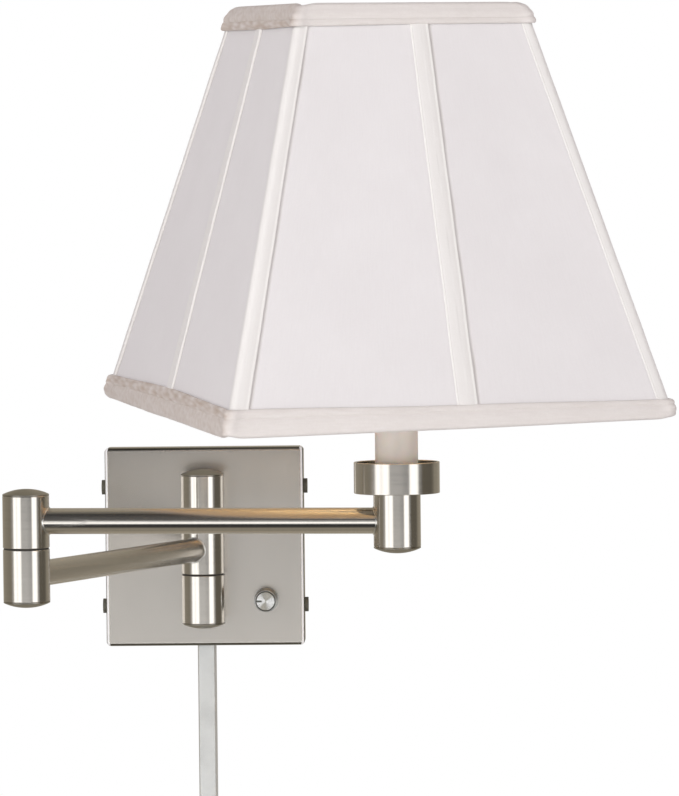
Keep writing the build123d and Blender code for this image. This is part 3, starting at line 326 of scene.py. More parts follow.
def panel(name, face, side, material):
    """One of the two panels of a face, stretched from its middle rib to its corner rib."""
    low, high = SHADE_BOTTOM + TUCK, SHADE_TOP - TUCK

    def edges(height):
        """The two edges of the panel, under its tapes' middles."""
        corner = corner_at(height, PANEL_DEPTH)
        seam = seam_shift(face, "middle", height)
        return (-corner, seam) if side < 0 else (seam, corner)

    rows, painted_shade_rows = [], []
    for v, height in levels(110, low, high):
        start, end = edges(height)
        left = start + tape_half(height) + (seam_shift(face - 1, "corner", height) if side < 0 else 0)
        right = end - tape_half(height) + (seam_shift(face, "corner", height) if side > 0 else 0)
        row, fold = [], []
        for along in panel_places(start, left, right, end):
            point, out = outline(face, along, height, PANEL_DEPTH)
            share = min(max((along - left) / (right - left), 0.0), 1.0)
            belly = math.sin(math.pi * share) ** 0.8 * math.sin(math.pi * v) ** 0.5
            pull = ripple(point, (0.016, 0.016, 0.085), 7.0) * 0.00030
            pucker = ripple(point, (0.0045, 0.0045, 0.05), 3.0) * 0.00022 * near_ends(v, 0.10)
            # Beside the tapes the cloth dips a little, and the same valley and crease lay painted shade there
            valley = hump(along - left - 0.0007, 0.0010)
            crease = hump(right - along - 0.0002, 0.0005)
            dip = 0.00030 * valley + 0.00010 * crease
            point += out * (pull * belly + pucker - PANEL_SAG * belly - dip)
            uneven = 0.8 + 0.5 * ripple(point, (0.02, 0.02, 0.018), 21.0)
            row.append(placed(point))
            # painted shade beside the tapes: deep just right of a tape, faint just left of the next one
            fold.append(min(1.0, (0.62 * valley + 0.18 * crease) * uneven))
        rows.append(row)
        painted_shade_rows.append(fold)
    piece = mesh_piece(name, rows, material, painted_shade_rows=painted_shade_rows)
    thicken(piece, PANEL_CLOTH)
    finished(piece, "shade_cover")


def tape_height(t):
    """How far a folded tape stands off the panel, across its width from -1 to 1."""
    edges = smooth_step((t + 1) / 0.07) * smooth_step((1 - t) / 0.05)
    crown = 0.00050 * (1 - t * t)
    folded_edge = 0.00042 * hump(t - 0.86, 0.12)
    stitches = 0.00012 * hump(t + 0.80, 0.05)
    return edges * (0.00048 + crown + folded_edge - stitches)


def tape(name, face, kind, material):
    """A folded bias tape over a rib, tucked under both trims."""
    steps = 34
    low, high = SHADE_BOTTOM + TUCK, SHADE_TOP - TUCK
    rows, painted_shade_rows = [], []
    for _, height in levels(170, low, high):
        half = tape_half(height)
        rib = corner_at(height, PANEL_DEPTH) if kind == "corner" else 0.0
        centre = rib + seam_shift(face, kind, height)
        middle, _ = outline(face, centre, height, PANEL_DEPTH)
        wander = ripple(middle, (0.03, 0.03, 0.03), 11.0) * 0.00035
        outer, inner, fold = [], [], []
        for i in range(steps + 1):
            t = math.sin(math.pi * (i / steps - 0.5))
            point, out = outline(face, centre + t * half + wander * abs(t), height, PANEL_DEPTH)
            puff = 1 + 0.22 * ripple(middle, (0.05, 0.05, 0.016), 5.0 if t > 0 else 9.0)
            outer.append(placed(point + out * tape_height(t) * puff))
            inner.append(placed(point - out * TAPE_CLOTH))
            # painted shade across the tape, darker towards its right side, and a painted shadow line at its
            # right edge
            fold.append(0.10 * smooth_step((t + 0.2) / 1.1) + 0.45 * smooth_step((t - 0.96) / 0.04))
        rows.append(outer + inner[::-1])
        painted_shade_rows.append(fold + fold[::-1])
    piece = mesh_piece(name, rows, material, closed_across=True, capped=True, painted_shade_rows=painted_shade_rows)
    finished(piece, "seam_tapes")


def stations(face_steps, corner_steps):
    """Places round the shade: (face, which part of it, share of that part), denser at the corners."""
    places = []
    for face in range(4):
        places += [(face, "left", 1 - i / corner_steps) for i in range(corner_steps)]
        places += [(face, "flat", 2 * i / face_steps - 1) for i in range(face_steps + 1)]
        places += [(face, "right", i / corner_steps) for i in range(1, corner_steps)]
    return places


def station_point(place, height, depth):
    """The outline's point and direction at one of those places, and its distance from the face's middle."""
    face, part, share = place
    radius = corner_radius(depth)
    straight = half_width(height, depth) - radius
    arc = radius * QUARTER / 2 * share
    along = {"left": -straight - arc, "flat": straight * share, "right": straight + arc}[part]
    return outline(face, along, height, depth), along


def band_section(top):
    """The trim's main band, from its folded upper edge, round the rim wire and up the inside.

    Pairs of (distance from the rim, depth in) for the outer skin, in order.
    """
    runs, turns, inside_steps = 12, 16, 5
    upper, lower = top - 0.0010, ROLL_CENTRE + 0.0004
    points = [(top, 0.00080), (top - 0.0002, 0.00042)]
    for i in range(runs + 1):
        share = i / runs
        points.append((upper + (lower - upper) * share, BAND_DEPTH - BAND_BELLY * math.sin(math.pi * share)))
    for i in range(turns + 1):
        angle = math.pi * i / turns
        points.append((
            ROLL_CENTRE - ROLL_REACH * math.sin(angle) ** 0.7,
            BAND_DEPTH + ROLL_DEPTH * (1 - math.cos(angle)),
        ))
    inside = BAND_DEPTH + 2 * ROLL_DEPTH
    points += [(ROLL_CENTRE + 0.0010 * i, inside + 0.00008 * i) for i in range(1, inside_steps + 1)]
    return points


def fold_section(low, height):
    """The narrow gathered fold along the band's upper edge."""
    steps = 14
    section = []
    for i in range(steps + 1):
        angle = math.pi * i / steps
        rise = low - FOLD_LAP + (height + FOLD_LAP) * (1 - math.cos(angle)) / 2
        section.append((rise, FOLD_FOOT - FOLD_PUFF * math.sin(angle) ** 0.7))
    return section


def ring_of_sections(name, rim, sign, hang, section_at, thickness, face_steps, gather, material):
    """A closed band round the shade: section_at gives its (distance from the rim, depth in) at each place.

    Gather holds the sizes and heights of its lumps and creases, the painted shade laid in its creases, and
    the point of the section where the band turns to its inside.
    """
    corner_steps, hem, shoulder = 7, 0.009, 0.008
    rows, painted_shade_rows = [], []
    for place in stations(face_steps, corner_steps):
        share = {"left": -1.0, "flat": place[2], "right": 1.0}[place[1]]
        section = section_at(place[0], share)
        last = len(section) - 1
        droop = around(hang, place[0], share)
        skin, back, fold = [], [], []
        for k, (rise, depth) in enumerate(section):
            _, along = station_point(place, rim, depth)
            corner = hump(abs(along) - corner_at(rim, depth), CORNER_REACH)
            low_share = 1 - smooth_step(rise / hem)
            height = rim + sign * (rise - (droop - CORNER_DROOP * corner) * low_share)
            (point, out), along = station_point(place, height, depth)
            facing = 1 if k < gather["turn"] else -1
            loose = side_weight(out)
            lump = ripple(point, gather["lump"], gather["seed"])
            slanted = point + Vector((0, 0, along * gather["lean"]))
            crease = ripple(slanted, gather["crease"], gather["seed"] + 4)
            edge = gather["profile"](k / last)
            shift = (gather["lump_height"] * lump + gather["crease_height"] * crease) * loose * edge
            bulk = corner * (gather["flare"] * edge + CORNER_BULK * smooth_step(rise / shoulder))
            skin.append(point + out * facing * (shift + bulk))
            # painted shade in the trim's creases, deeper where it is gathered loosely, so most on the left
            # face
            fold.append(min(1.0, max(0.0, loose * (gather["crease_shade"] - gather["crease_shade_swing"] * crease))))
        for k in range(len(skin)):
            before, after = skin[max(k - 1, 0)], skin[min(k + 1, last)]
            run = (after - before).normalized()
            (_, out), _ = station_point(place, rim, section[k][1])
            side = out.cross(Vector((0, 0, 1))).normalized()
            inward = run.cross(side) * sign
            back.append(skin[k] + inward.normalized() * thickness)
        rows.append([placed(p) for p in skin] + [placed(p) for p in back[::-1]])
        painted_shade_rows.append(fold + fold[::-1])
    return mesh_piece(name, rows, material, closed_along=True, closed_across=True, painted_shade_rows=painted_shade_rows)


def face_outwards(piece):
    """Turns the faces of a closed mesh to look outwards."""
    work = bmesh.new()
    work.from_mesh(piece.data)
    bmesh.ops.recalc_face_normals(work, faces=work.faces)
    work.to_mesh(piece.data)
    work.free()


def section_length(section):
    """The length of a section, along it."""
    return sum(math.dist(a, b) for a, b in zip(section, section[1:]))


def trim(node, rim, sign, face_steps, cloth, seed):
    """A rim's trim: the band that wraps the wire, and the narrow gathered fold beside it."""
    sizes = TRIM_SIZES[node]

    def band_at(face, share):
        return band_section(around(sizes["band"], face, share))

    def fold_at(face, share):
        return fold_section(around(sizes["band"], face, share), around(sizes["fold"], face, share))

    gather = dict(
        turn=20,
        lump=(0.013, 0.013, 0.006),
        crease=(0.0040, 0.0040, 0.0024),
        lean=0.30,
        lump_height=0.00045,
        crease_height=0.00020,
        profile=lambda share: math.sin(math.pi * min(share * 1.3, 1.0)) ** 0.5,
        flare=0.0004,
        # painted shade in the band's creases: its depth, and how much it swings with the creases
        crease_shade=0.50,
        crease_shade_swing=0.22,
        seed=seed,
    )
    fold_gather = dict(
        gather,
        turn=math.inf,
        lump=(0.010, 0.010, 0.0030),
        crease=(0.0090, 0.0090, 0.0016),
        lean=0.07,
        lump_height=0.00065,
        crease_height=0.00030,
        profile=lambda share: math.sin(math.pi * share) ** 0.5,
        # painted shade in the fold's creases: its depth, and how much it swings with the creases
        crease_shade=0.66,
        crease_shade_swing=0.50,
        seed=seed + 20,
    )
    for part, section_at, thickness, style in (
        ("_band", band_at, BAND_CLOTH, gather),
        ("_fold", fold_at, FOLD_CLOTH, fold_gather),
    ):
        piece = ring_of_sections(
            node + part, rim, sign, sizes["hang"], section_at, thickness, face_steps, style, cloth
        )
        face_outwards(piece)
        finished(piece, node)
    section_length(band_at(0, 0))


def lining(material):
    """The smooth lining, stretched inside the ribs from one ring to the other."""
    places = stations(60, 4)
    low, high = SHADE_BOTTOM + LINING_TUCK, SHADE_TOP - LINING_TUCK
    rows = []
    for v, height in levels(70, low, high):
        row = []
        for place in places:
            (point, out), _ = station_point(place, height, LINING_DEPTH)
            pleat = ripple(point, (0.006, 0.006, 0.09), 15.0) * 0.0004 * near_ends(v, 0.14)
            pull = ripple(point, (0.02, 0.02, 0.11), 17.0) * 0.0003
            row.append(placed(point + out * (pleat + pull - 0.0003)))
        rows.append(row)
    piece = mesh_piece("shade_lining_cloth", rows, material, closed_across=True)
    thicken(piece, LINING_CLOTH)
    finished(piece, "shade_lining")


def bead(name, pivot, direction, height, body, material):
    """The fine bead where a round arm meets its knuckle, along the line where the two cross; its light metal
    is a painted highlight.
    """
    turns, sides, nudge = 120, 10, 0.01
    level = Vector((direction.x, direction.y, 0)).normalized()
    across = Vector((-level.y, level.x, 0))
    radius = ARM_R + 0.5 * BEAD_R

    def crossing(angle):
        side, rise = radius * math.cos(angle), radius * math.sin(angle)
        reach = math.sqrt(KNUCKLE_R ** 2 - side ** 2) + 0.35 * BEAD_R
        return Vector((pivot.x, pivot.y, height)) + across * side + level * reach + Vector((0, 0, rise))

    rows = []
    for i in range(turns):
        angle = 2 * math.pi * i / turns
        centre = crossing(angle)
        run = (crossing(angle + nudge) - crossing(angle - nudge)).normalized()
        first = run.cross(level).normalized()
        second = run.cross(first)
        fullness = BEAD_R * (1 + 0.12 * ripple(centre, (0.004, 0.004, 0.004), 13.0))
        rows.append([
            centre + (first * math.cos(turn) + second * math.sin(turn)) * fullness
            for turn in (2 * math.pi * k / sides for k in range(sides))
        ])
    piece = mesh_piece(name, rows, material, closed_along=True, closed_across=True)
    face_outwards(piece)
    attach(piece, body)


# ---------------- materials

class Nodes:
    """A small helper that builds a node tree."""

    def __init__(self, tree):
        self.tree = tree
        tree.nodes.clear()

    def link(self, source, target):
        self.tree.links.new(source, target)

    def node(self, kind, **settings):
        made = self.tree.nodes.new(kind)
        for key, value in settings.items():
            setattr(made, key, value)
        return made

    def feed(self, socket, value):
        """Links another node's output to a socket, or sets it to a plain value."""
        if isinstance(value, bpy.types.NodeSocket):
            self.link(value, socket)
        else:
            socket.default_value = value

    def put(self, node, **values):
        """Feeds a node's sockets by their names, and returns the node."""
        for key, value in values.items():
            self.feed(node.inputs[key.replace("_", " ")], value)
        return node

    def math(self, operation, first, second=0.0):
        made = self.node("ShaderNodeMath", operation=operation)
        self.feed(made.inputs[0], first)
        self.feed(made.inputs[1], second)
        return made.outputs["Value"]

    def sum_of(self, *pairs):
        """The sum of the products of pairs of values."""
        total = 0.0
        for value, weight in pairs:
            total = self.math("ADD", total, self.math("MULTIPLY", value, weight))
        return total

    def parts(self, vector):
        """A vector's X, Y and Z."""
        made = self.put(self.node("ShaderNodeSeparateXYZ"), Vector=vector)
        return [made.outputs[axis] for axis in "XYZ"]

    def ramp(self, value, stops):
        """A colour ramp of (place from 0 to 1, colour) stops."""
        made = self.node("ShaderNodeValToRGB")
        elements = made.color_ramp.elements
        elements[0].position = stops[0][0]
        elements[1].position = stops[-1][0]
        for position, _ in stops[1:-1]:
            elements.new(position)
        for element, (_, colour) in zip(elements, stops):
            element.color = (*colour, 1.0)
        return self.put(made, Fac=value).outputs["Color"]

    def mixed(self, share, first, second):
        """A mix of two shaders: all the second where the share is 1."""
        made = self.put(self.node("ShaderNodeMixShader"), Fac=share)
        self.link(first, made.inputs[1])
        self.link(second, made.inputs[2])
        return made.outputs["Shader"]

    def mixed_colour(self, share, first, second, blend="MIX"):
        """The first colour, and all the second, or the product of both, where the share is 1."""
        made = self.node("ShaderNodeMix", data_type="RGBA", blend_type=blend)
        return self.put(made, Factor=share, A=first, B=second).outputs["Result"]


class Shader(Nodes):
    """A small helper that builds one procedural Principled material."""

    def __init__(self, name):
        self.material = bpy.data.materials.new(name)
        self.material.use_nodes = True
        super().__init__(self.material.node_tree)
        self.output = self.node("ShaderNodeOutputMaterial")
        self.surface = self.node("ShaderNodeBsdfPrincipled")
        self.put(self.output, Surface=self.surface.outputs["BSDF"])

    def set(self, **values):
        """Feeds the surface's sockets by their names."""
        self.put(self.surface, **values)

    def place(self, size, turn=(0, 0, 0), uv=False):
        """Texture coordinates in cells of that size, in metres, along axes turned by that much."""
        if uv:
            source = self.node("ShaderNodeUVMap", uv_map="weave").outputs["UV"]
        else:
            source = self.node("ShaderNodeTexCoord").outputs["Object"]
        mapping = self.node("ShaderNodeMapping", vector_type="TEXTURE")
        return self.put(mapping, Vector=source, Rotation=turn, Scale=size).outputs["Vector"]

    def noise(self, where, detail=3.0, distortion=0.0):
        texture = self.node("ShaderNodeTexNoise")
        return self.put(texture, Vector=where, Scale=1.0, Detail=detail, Distortion=distortion).outputs["Fac"]

    def wave(self, where, direction, distortion=0.0):
        texture = self.node("ShaderNodeTexWave", wave_type="BANDS", bands_direction=direction)
        return self.put(texture, Vector=where, Scale=1.0, Detail=1.0, Distortion=distortion).outputs["Fac"]

    def stretch(self, value, low, high, start=0.0, end=1.0):
        """The value's range low to high spread over start to end."""
        made = self.node("ShaderNodeMapRange", clamp=True)
        for slot, source in enumerate((value, low, high, start, end)):
            self.feed(made.inputs[slot], source)
        return made.outputs["Result"]

    def ranged(self, value, low, high):
        """The value's middle half spread over low to high."""
        return self.stretch(value, 0.25, 0.75, low, high)

    def between(self, value, start, full, fading, end):
        """1 where the value runs from full to fading, and down to 0 at the start and the end."""
        return self.math("MULTIPLY", self.stretch(value, start, full), self.stretch(value, end, fading))

    def inside(self, value, low, high):
        """1 where the value lies between low and high, else 0."""
        above = self.math("GREATER_THAN", value, low)
        return self.math("MULTIPLY", above, self.math("LESS_THAN", value, high))

    def blended(self, share, other):
        """Mixes another colour into the surface's colour by a share."""
        source = self.surface.inputs["Base Color"].links[0].from_socket
        self.set(Base_Color=self.mixed_colour(share, source, (*other, 1.0)))

    def colours(self, value, *stops, painted_shade_colour=None):
        """A colour ramp from 0.3 to 0.7 of the value, with a painted shade colour multiplied in by the fold
        attribute.
        """
        places = [0.3 + 0.4 * i / (len(stops) - 1) for i in range(len(stops))]
        colour = self.ramp(value, list(zip(places, stops)))
        # painted shade: the fold attribute mixes in a darker colour for shadow in creases and beside seams
        if painted_shade_colour is not None:
            depth = self.node("ShaderNodeAttribute", attribute_name="fold").outputs["Fac"]
            colour = self.mixed_colour(depth, colour, (*painted_shade_colour, 1.0), "MULTIPLY")
        self.set(Base_Color=colour)

    def roughness(self, value, low, high):
        self.set(Roughness=self.ranged(value, low, high))

    def smoother_bends(self, value, low, high, polished):
        """Roughness by the value on the front and the side walls, and polished on the bends between them."""
        _, frontal, _ = self.facing_parts()
        front, wall = self.stretch(frontal, 0.80, 0.995), self.stretch(frontal, 0.12, 0.02)
        flat = self.math("MAXIMUM", front, wall)
        rise = self.math("SUBTRACT", self.ranged(value, low, high), polished)
        self.set(Roughness=self.math("ADD", self.math("MULTIPLY", rise, flat), polished))

    def facing_parts(self):
        """How much the surface looks along X, Y and Z."""
        normal = self.node("ShaderNodeTexCoord").outputs["Normal"]
        return [self.math("ABSOLUTE", part) for part in self.parts(normal)]

    def painted_light_by_height(self, low, high, metal_low, metal_high):
        """How metallic the plate is between two heights; the rest scatters, so less metal lower down paints
        it lighter there.
        """
        _, _, height = self.parts(self.node("ShaderNodeTexCoord").outputs["Object"])
        return self.stretch(height, low, high, metal_low, metal_high)

    def painted_edge_light_and_shade(self, painted_plate_light):
        """Painted highlight lines down a plate's two side bends, painted shade outside them and on the top
        and bottom bends.
        """
        sideways, _, upright = self.facing_parts()
        # painted highlight down the inner part of each side bend
        line = self.between(sideways, 0.14, 0.22, 0.72, 0.80)
        # painted shade on the outer part of each side bend
        rim = self.between(sideways, 0.72, 0.80, 0.985, 0.999)
        # painted shade on the top and bottom bends
        painted_shade_bends = self.between(upright, 0.12, 0.40, 0.985, 0.999)
        self.blended(painted_shade_bends, (0.20, 0.19, 0.16))
        self.blended(rim, (0.12, 0.115, 0.10))
        self.blended(line, (1.0, 1.0, 1.0))
        # no metal on the painted highlight line, so it shows as plain white
        off_painted_highlight = self.math("SUBTRACT", 1.0, line)
        self.set(Metallic=self.math("MULTIPLY", self.painted_light_by_height(*painted_plate_light), off_painted_highlight))

    def relief(self, value, depth, strength=1.0):
        """Bumps of that depth in metres."""
        bump = self.put(self.node("ShaderNodeBump"), Height=value, Distance=depth, Strength=strength)
        self.set(Normal=bump.outputs["Normal"])

    def tangent(self, axis):
        """Draws the gloss out by an axis that the surface is turned about."""
        made = self.node("ShaderNodeTangent", direction_type="RADIAL", axis=axis)
        self.set(Tangent=made.outputs["Tangent"])


def shade_of(colour, factor):
    """The colour, lighter or darker."""
    return tuple(min(c * factor, 1.0) for c in colour)


NICKEL = (0.70, 0.665, 0.615)
PLATE_NICKEL = (0.65, 0.618, 0.572)
# The caps' nickel is a darker copy of the same nickel: painted shade for the dark room their domes reflect
SHADED_CAP_NICKEL = (0.46, 0.435, 0.385)


def brushed(name, colour, line, turn=(0, 0, 0), roughness=(0.17, 0.22), anisotropy=0.85, axis="Z",
            contrast=1.0, polished=None, painted_plate_light=None):
    """Satin metal with fine brush lines: line is the size of a texture cell along the axes turned by turn.

    The gloss is drawn out square to the lines, which run round the axis. Polished is the roughness of bends.
    Painted plate light is for painted highlight and shade on a plate's bends: two heights, and how metallic
    it is at each.
    """
    shader = Shader(name)
    fine = shader.noise(shader.place(line, turn), detail=2.0)
    wide = shader.noise(shader.place(tuple(4 * x for x in line), turn), detail=2.0)
    cloud = shader.noise(shader.place((0.03, 0.03, 0.03)), detail=2.0)
    grain = shader.sum_of((fine, 0.6), (wide, 0.4))
    tone = shader.sum_of((grain, 0.7), (cloud, 0.3))
    dark, light = shade_of(colour, 1 - 0.05 * contrast), shade_of(colour, 1 + 0.04 * contrast)
    shader.colours(tone, dark, colour, light)
    if polished is None:
        shader.roughness(tone, *roughness)
    else:
        shader.smoother_bends(tone, *roughness, polished)
    shader.relief(grain, 0.000006, 0.4 * contrast)
    shader.set(Metallic=1.0, Anisotropic=anisotropy, Anisotropic_Rotation=0.25)
    # painted highlight and shade on a plate's bends, and its painted light gradient by height
    if painted_plate_light is not None:
        shader.painted_edge_light_and_shade(painted_plate_light)
    if anisotropy > 0:
        shader.tangent(axis)
    return shader.material


def plated(name, colour, roughness=(0.25, 0.42), grain=0.0015, metallic=1.0):
    """Plain plated or painted metal with a faint mottle."""
    shader = Shader(name)
    mottle = shader.noise(shader.place((grain,) * 3), detail=4.0)
    cloud = shader.noise(shader.place((0.012,) * 3), detail=2.0)
    tone = shader.sum_of((mottle, 0.5), (cloud, 0.5))
    shader.colours(tone, shade_of(colour, 0.86), colour, shade_of(colour, 1.08))
    shader.roughness(mottle, *roughness)
    shader.relief(mottle, 0.00001, 0.4)
    shader.set(Metallic=metallic)
    return shader.material


def moulded(name, colour, roughness=(0.38, 0.5), grain=0.0006, depth=0.00002, translucent=0.0, coat=0.0):
    """Moulded plastic or glassy coating with a fine texture and uneven gloss."""
    shader = Shader(name)
    fine = shader.noise(shader.place((grain,) * 3), detail=3.0)
    cloud = shader.noise(shader.place((0.009, 0.009, 0.02)), detail=2.0)
    shader.colours(cloud, shade_of(colour, 0.95), colour, shade_of(colour, 1.03))
    shader.roughness(fine, *roughness)
    shader.relief(fine, depth, 0.4)
    shader.set(Subsurface_Weight=translucent, Subsurface_Scale=0.002, Coat_Weight=coat)
    return shader.material


def woven(name, light, dark, thread, crepe, relief, sheen=0.25, painted_shade_colour=None):
    """Cloth: two sets of threads with uneven slubs, a crepe pebble over them, and painted shade by the fold
    attribute.
    """
    shader = Shader(name)
    warp = shader.wave(shader.place((thread * math.pi,) * 3, uv=True), "X", 0.6)
    weft = shader.wave(shader.place((thread * math.pi,) * 3, uv=True), "Y", 0.6)
    threads = shader.sum_of((warp, 0.5), (weft, 0.5))
    pebble = shader.noise(shader.place((crepe, crepe, crepe), uv=True), detail=5.0, distortion=0.8)
    slub = shader.noise(shader.place((0.0009, 0.012, 1.0), uv=True), detail=3.0)
    cloud = shader.noise(shader.place((0.05, 0.05, 1.0), uv=True), detail=3.0)
    surface = shader.sum_of((threads, 0.35), (pebble, 0.65))
    tone = shader.sum_of((surface, 0.35), (slub, 0.25), (cloud, 0.40))
    shader.colours(tone, dark, light, painted_shade_colour=painted_shade_colour)
    shader.roughness(pebble, 0.82, 0.95)
    shader.relief(surface, relief, 0.7)
    shader.set(Sheen_Weight=sheen, Sheen_Roughness=0.5, Specular_IOR_Level=0.25)
    return shader.material


RINGS_PER_METRE = 5200.0
# Painted sheen of the knob's spun face: bright lobes stand for the lights' reflection, painted darker between
# them
PAINTED_SHEEN_LOBES = ((2.0, 0.22, 1.0), (5.0, 1.2, 0.35))  # lobes in a turn, how far they lead, and their weight
PAINTED_SHEEN_DARK = (0.50, 0.485, 0.42)
# Painted shade in the knob's groove
GROOVE_SHADE_COLOUR = (0.02, 0.02, 0.018)
# Painted shade in the pointer's slot
POINTER_SHADE_COLOUR = (0.20, 0.20, 0.18)


def spun(name, colour, centre, groove_shade=None, painted_sheen=0.0, pointer=None):
    """Bright metal faced on a lathe: rings about an axis that points to the front.

    Groove shade is the inner and outer radius of a ring painted dark as shade. Painted sheen says how dark
    the face is painted between bright lobes that stand for reflected light. Pointer is the stretch of a slot
    along X from the centre, painted dark as shade, and half its width.
    """
    shader = Shader(name)
    x, _, z = shader.parts(shader.node("ShaderNodeTexCoord").outputs["Object"])
    x, z = shader.math("SUBTRACT", x, centre.x), shader.math("SUBTRACT", z, centre.z)
    radius = shader.math("SQRT", shader.sum_of((x, x), (z, z)))
    texture = shader.node("ShaderNodeTexNoise", noise_dimensions="1D")
    rings = shader.put(texture, W=radius, Scale=RINGS_PER_METRE, Detail=3.0).outputs["Fac"]
    shader.colours(rings, shade_of(colour, 0.9), colour, shade_of(colour, 1.05))
    # painted sheen: bright lobes and darker sectors between them
    if painted_sheen:
        angle = shader.math("ARCTAN2", z, x)
        lobes = []
        for count, lead, weight in PAINTED_SHEEN_LOBES:
            turned = shader.math("MULTIPLY", shader.math("ADD", angle, lead), count)
            lobes.append((shader.math("COSINE", turned), weight))
        lobes = shader.sum_of(*lobes)
        shader.blended(shader.stretch(lobes, 0.35, -0.75, 0.0, painted_sheen), PAINTED_SHEEN_DARK)
    # painted shade in the groove
    if groove_shade is not None:
        shader.blended(shader.inside(radius, *groove_shade), GROOVE_SHADE_COLOUR)
    # painted shade in the pointer's slot
    if pointer is not None:
        start, end, half = pointer
        slot = shader.math("MULTIPLY", shader.inside(x, start, end), shader.inside(z, -half, half))
        shader.blended(slot, POINTER_SHADE_COLOUR)
    shader.roughness(rings, 0.24, 0.30)
    shader.relief(rings, 0.00001, 0.4)
    shader.set(Metallic=1.0, Anisotropic=0.93, Anisotropic_Rotation=0.25)
    shader.tangent("Y")
    return shader.material


# Cells of brush lines that run round Z, round X and up a plate: long along the lines, short across them
ROUND_Z = (0.03, 0.03, 0.00045)
ROUND_X = (0.00045, 0.03, 0.03)
UPRIGHT = (0.00030, 0.03, 0.02)
plate_low, plate_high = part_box("backplate")
NODE_MATERIALS = {
    # The backplate has a painted highlight and painted shade on its bends, and is painted lighter lower down
    "backplate": brushed("nickel_plate", PLATE_NICKEL, UPRIGHT, roughness=(0.22, 0.27), anisotropy=0.0,
                         contrast=0.6, polished=0.07,
                         painted_plate_light=(plate_low.z, plate_high.z, 0.84, 0.94)),
    "rear_arm_tube": brushed("nickel_rear_arm", NICKEL, ROUND_X, turn=(0, 0, REAR_YAW), axis="Y"),
    "front_arm_tube": brushed("nickel_front_arm", NICKEL, ROUND_X, turn=(0, 0, FRONT_YAW), axis="X"),
}
# painted shade: the caps take the darker copy of the nickel
caps = brushed("nickel_caps_painted_shade", SHADED_CAP_NICKEL, ROUND_Z, roughness=(0.28, 0.36))
washers = moulded("fibre_washer", (0.05, 0.045, 0.04), roughness=(0.7, 0.85), grain=0.0012, depth=0.00004)
for name in ("wall_knuckle_caps", "elbow_lower_cap", "elbow_upper_cap", "end_knuckle_cap"):
    NODE_MATERIALS[name] = caps
for name in ("wall_friction_washers", "elbow_friction_washer"):
    NODE_MATERIALS[name] = washers
knob_middle = middle_of("dimmer_knob")
# The knob body's groove is painted dark as shade
NODE_MATERIALS["dimmer_knob"] = spun("turned_knob_painted_groove_shade", (0.56, 0.555, 0.53), knob_middle,
                                     groove_shade=(0.00605, 0.0067))
# The knob face carries a painted sheen, and its pointer slot is painted dark as shade
NODE_MATERIALS["knob_face"] = spun("spun_knob_face_painted_sheen", (1.0, 0.995, 0.98), knob_middle, painted_sheen=0.80,
                                   pointer=(-0.0074, -0.0026, 0.00062))
SLOT_MATERIALS = {
    "brushed_nickel": brushed("nickel_turned", NICKEL, ROUND_Z, roughness=(0.13, 0.17)),
    "zinc_steel": plated("zinc_plate", (0.62, 0.62, 0.60)),
    "dark_screw": plated("blackened_steel", (0.135, 0.13, 0.105), roughness=(0.5, 0.65), metallic=0.15),
    "nylon": moulded("white_nylon", (0.83, 0.82, 0.78), translucent=0.2),
    "black_moulding": moulded("black_phenolic", (0.028, 0.027, 0.026)),
    "satin_cover": plated("satin_silver_paint", (0.73, 0.745, 0.735), roughness=(0.34, 0.42), grain=0.0005,
                          metallic=0.4),
    "white_moulding": moulded("white_polymer", (0.82, 0.81, 0.78)),
    "lead_jacket": moulded("clear_grey_jacket", (0.62, 0.60, 0.54), roughness=(0.3, 0.4), coat=0.3),
    "sleeve_plastic": moulded("candle_sleeve_plastic", (0.85, 0.83, 0.84), roughness=(0.36, 0.46),
                              translucent=0.25),
    "harp_metal": plated("satin_harp_nickel", (0.60, 0.58, 0.54)),
    "socket_brass": plated("drawn_brass", (0.78, 0.60, 0.32), roughness=(0.2, 0.34)),
    "insulator_board": moulded("fish_paper", (0.40, 0.27, 0.17), roughness=(0.7, 0.85), grain=0.0012,
                               depth=0.00006),
    "bulb_cap": plated("aluminium_cap", (0.80, 0.80, 0.79), roughness=(0.24, 0.38)),
    "bulb_glass": moulded("frosted_glass", (0.93, 0.92, 0.89), roughness=(0.22, 0.30), translucent=0.3,
                          coat=0.4),
    "white_wire": moulded("white_enamel_wire", (0.84, 0.83, 0.80), roughness=(0.3, 0.42), coat=0.2),
}
for name, node in frame["nodes"].items():
    for slot in node.material_slots:
        made = NODE_MATERIALS.get(name) or SLOT_MATERIALS.get(slot.material.name)
        if made is not None:
            slot.material = made


# ---------------- cloth and beads

# The last colour given to each cloth is its painted shade, laid in creases and beside seams by the fold
# attribute
panel_cloth = woven("shade_panel_cloth", (0.845, 0.825, 0.835), (0.785, 0.76, 0.77),
                    thread=0.00042, crepe=0.0011, relief=0.00006, painted_shade_colour=(0.66, 0.63, 0.60))
tape_cloth = woven("bias_tape_cloth", (0.868, 0.852, 0.842), (0.812, 0.79, 0.775),
                   thread=0.00045, crepe=0.0010, relief=0.00007, painted_shade_colour=(0.72, 0.69, 0.66))
trim_cloth = woven("crepe_trim_cloth", (0.86, 0.825, 0.81), (0.76, 0.72, 0.70),
                   thread=0.0006, crepe=0.0014, relief=0.00022, painted_shade_colour=(0.60, 0.50, 0.42))
lining_material = woven("warm_lining_cloth", (0.90, 0.77, 0.60), (0.84, 0.70, 0.53),
                        thread=0.00035, crepe=0.0016, relief=0.00003, sheen=0.4)

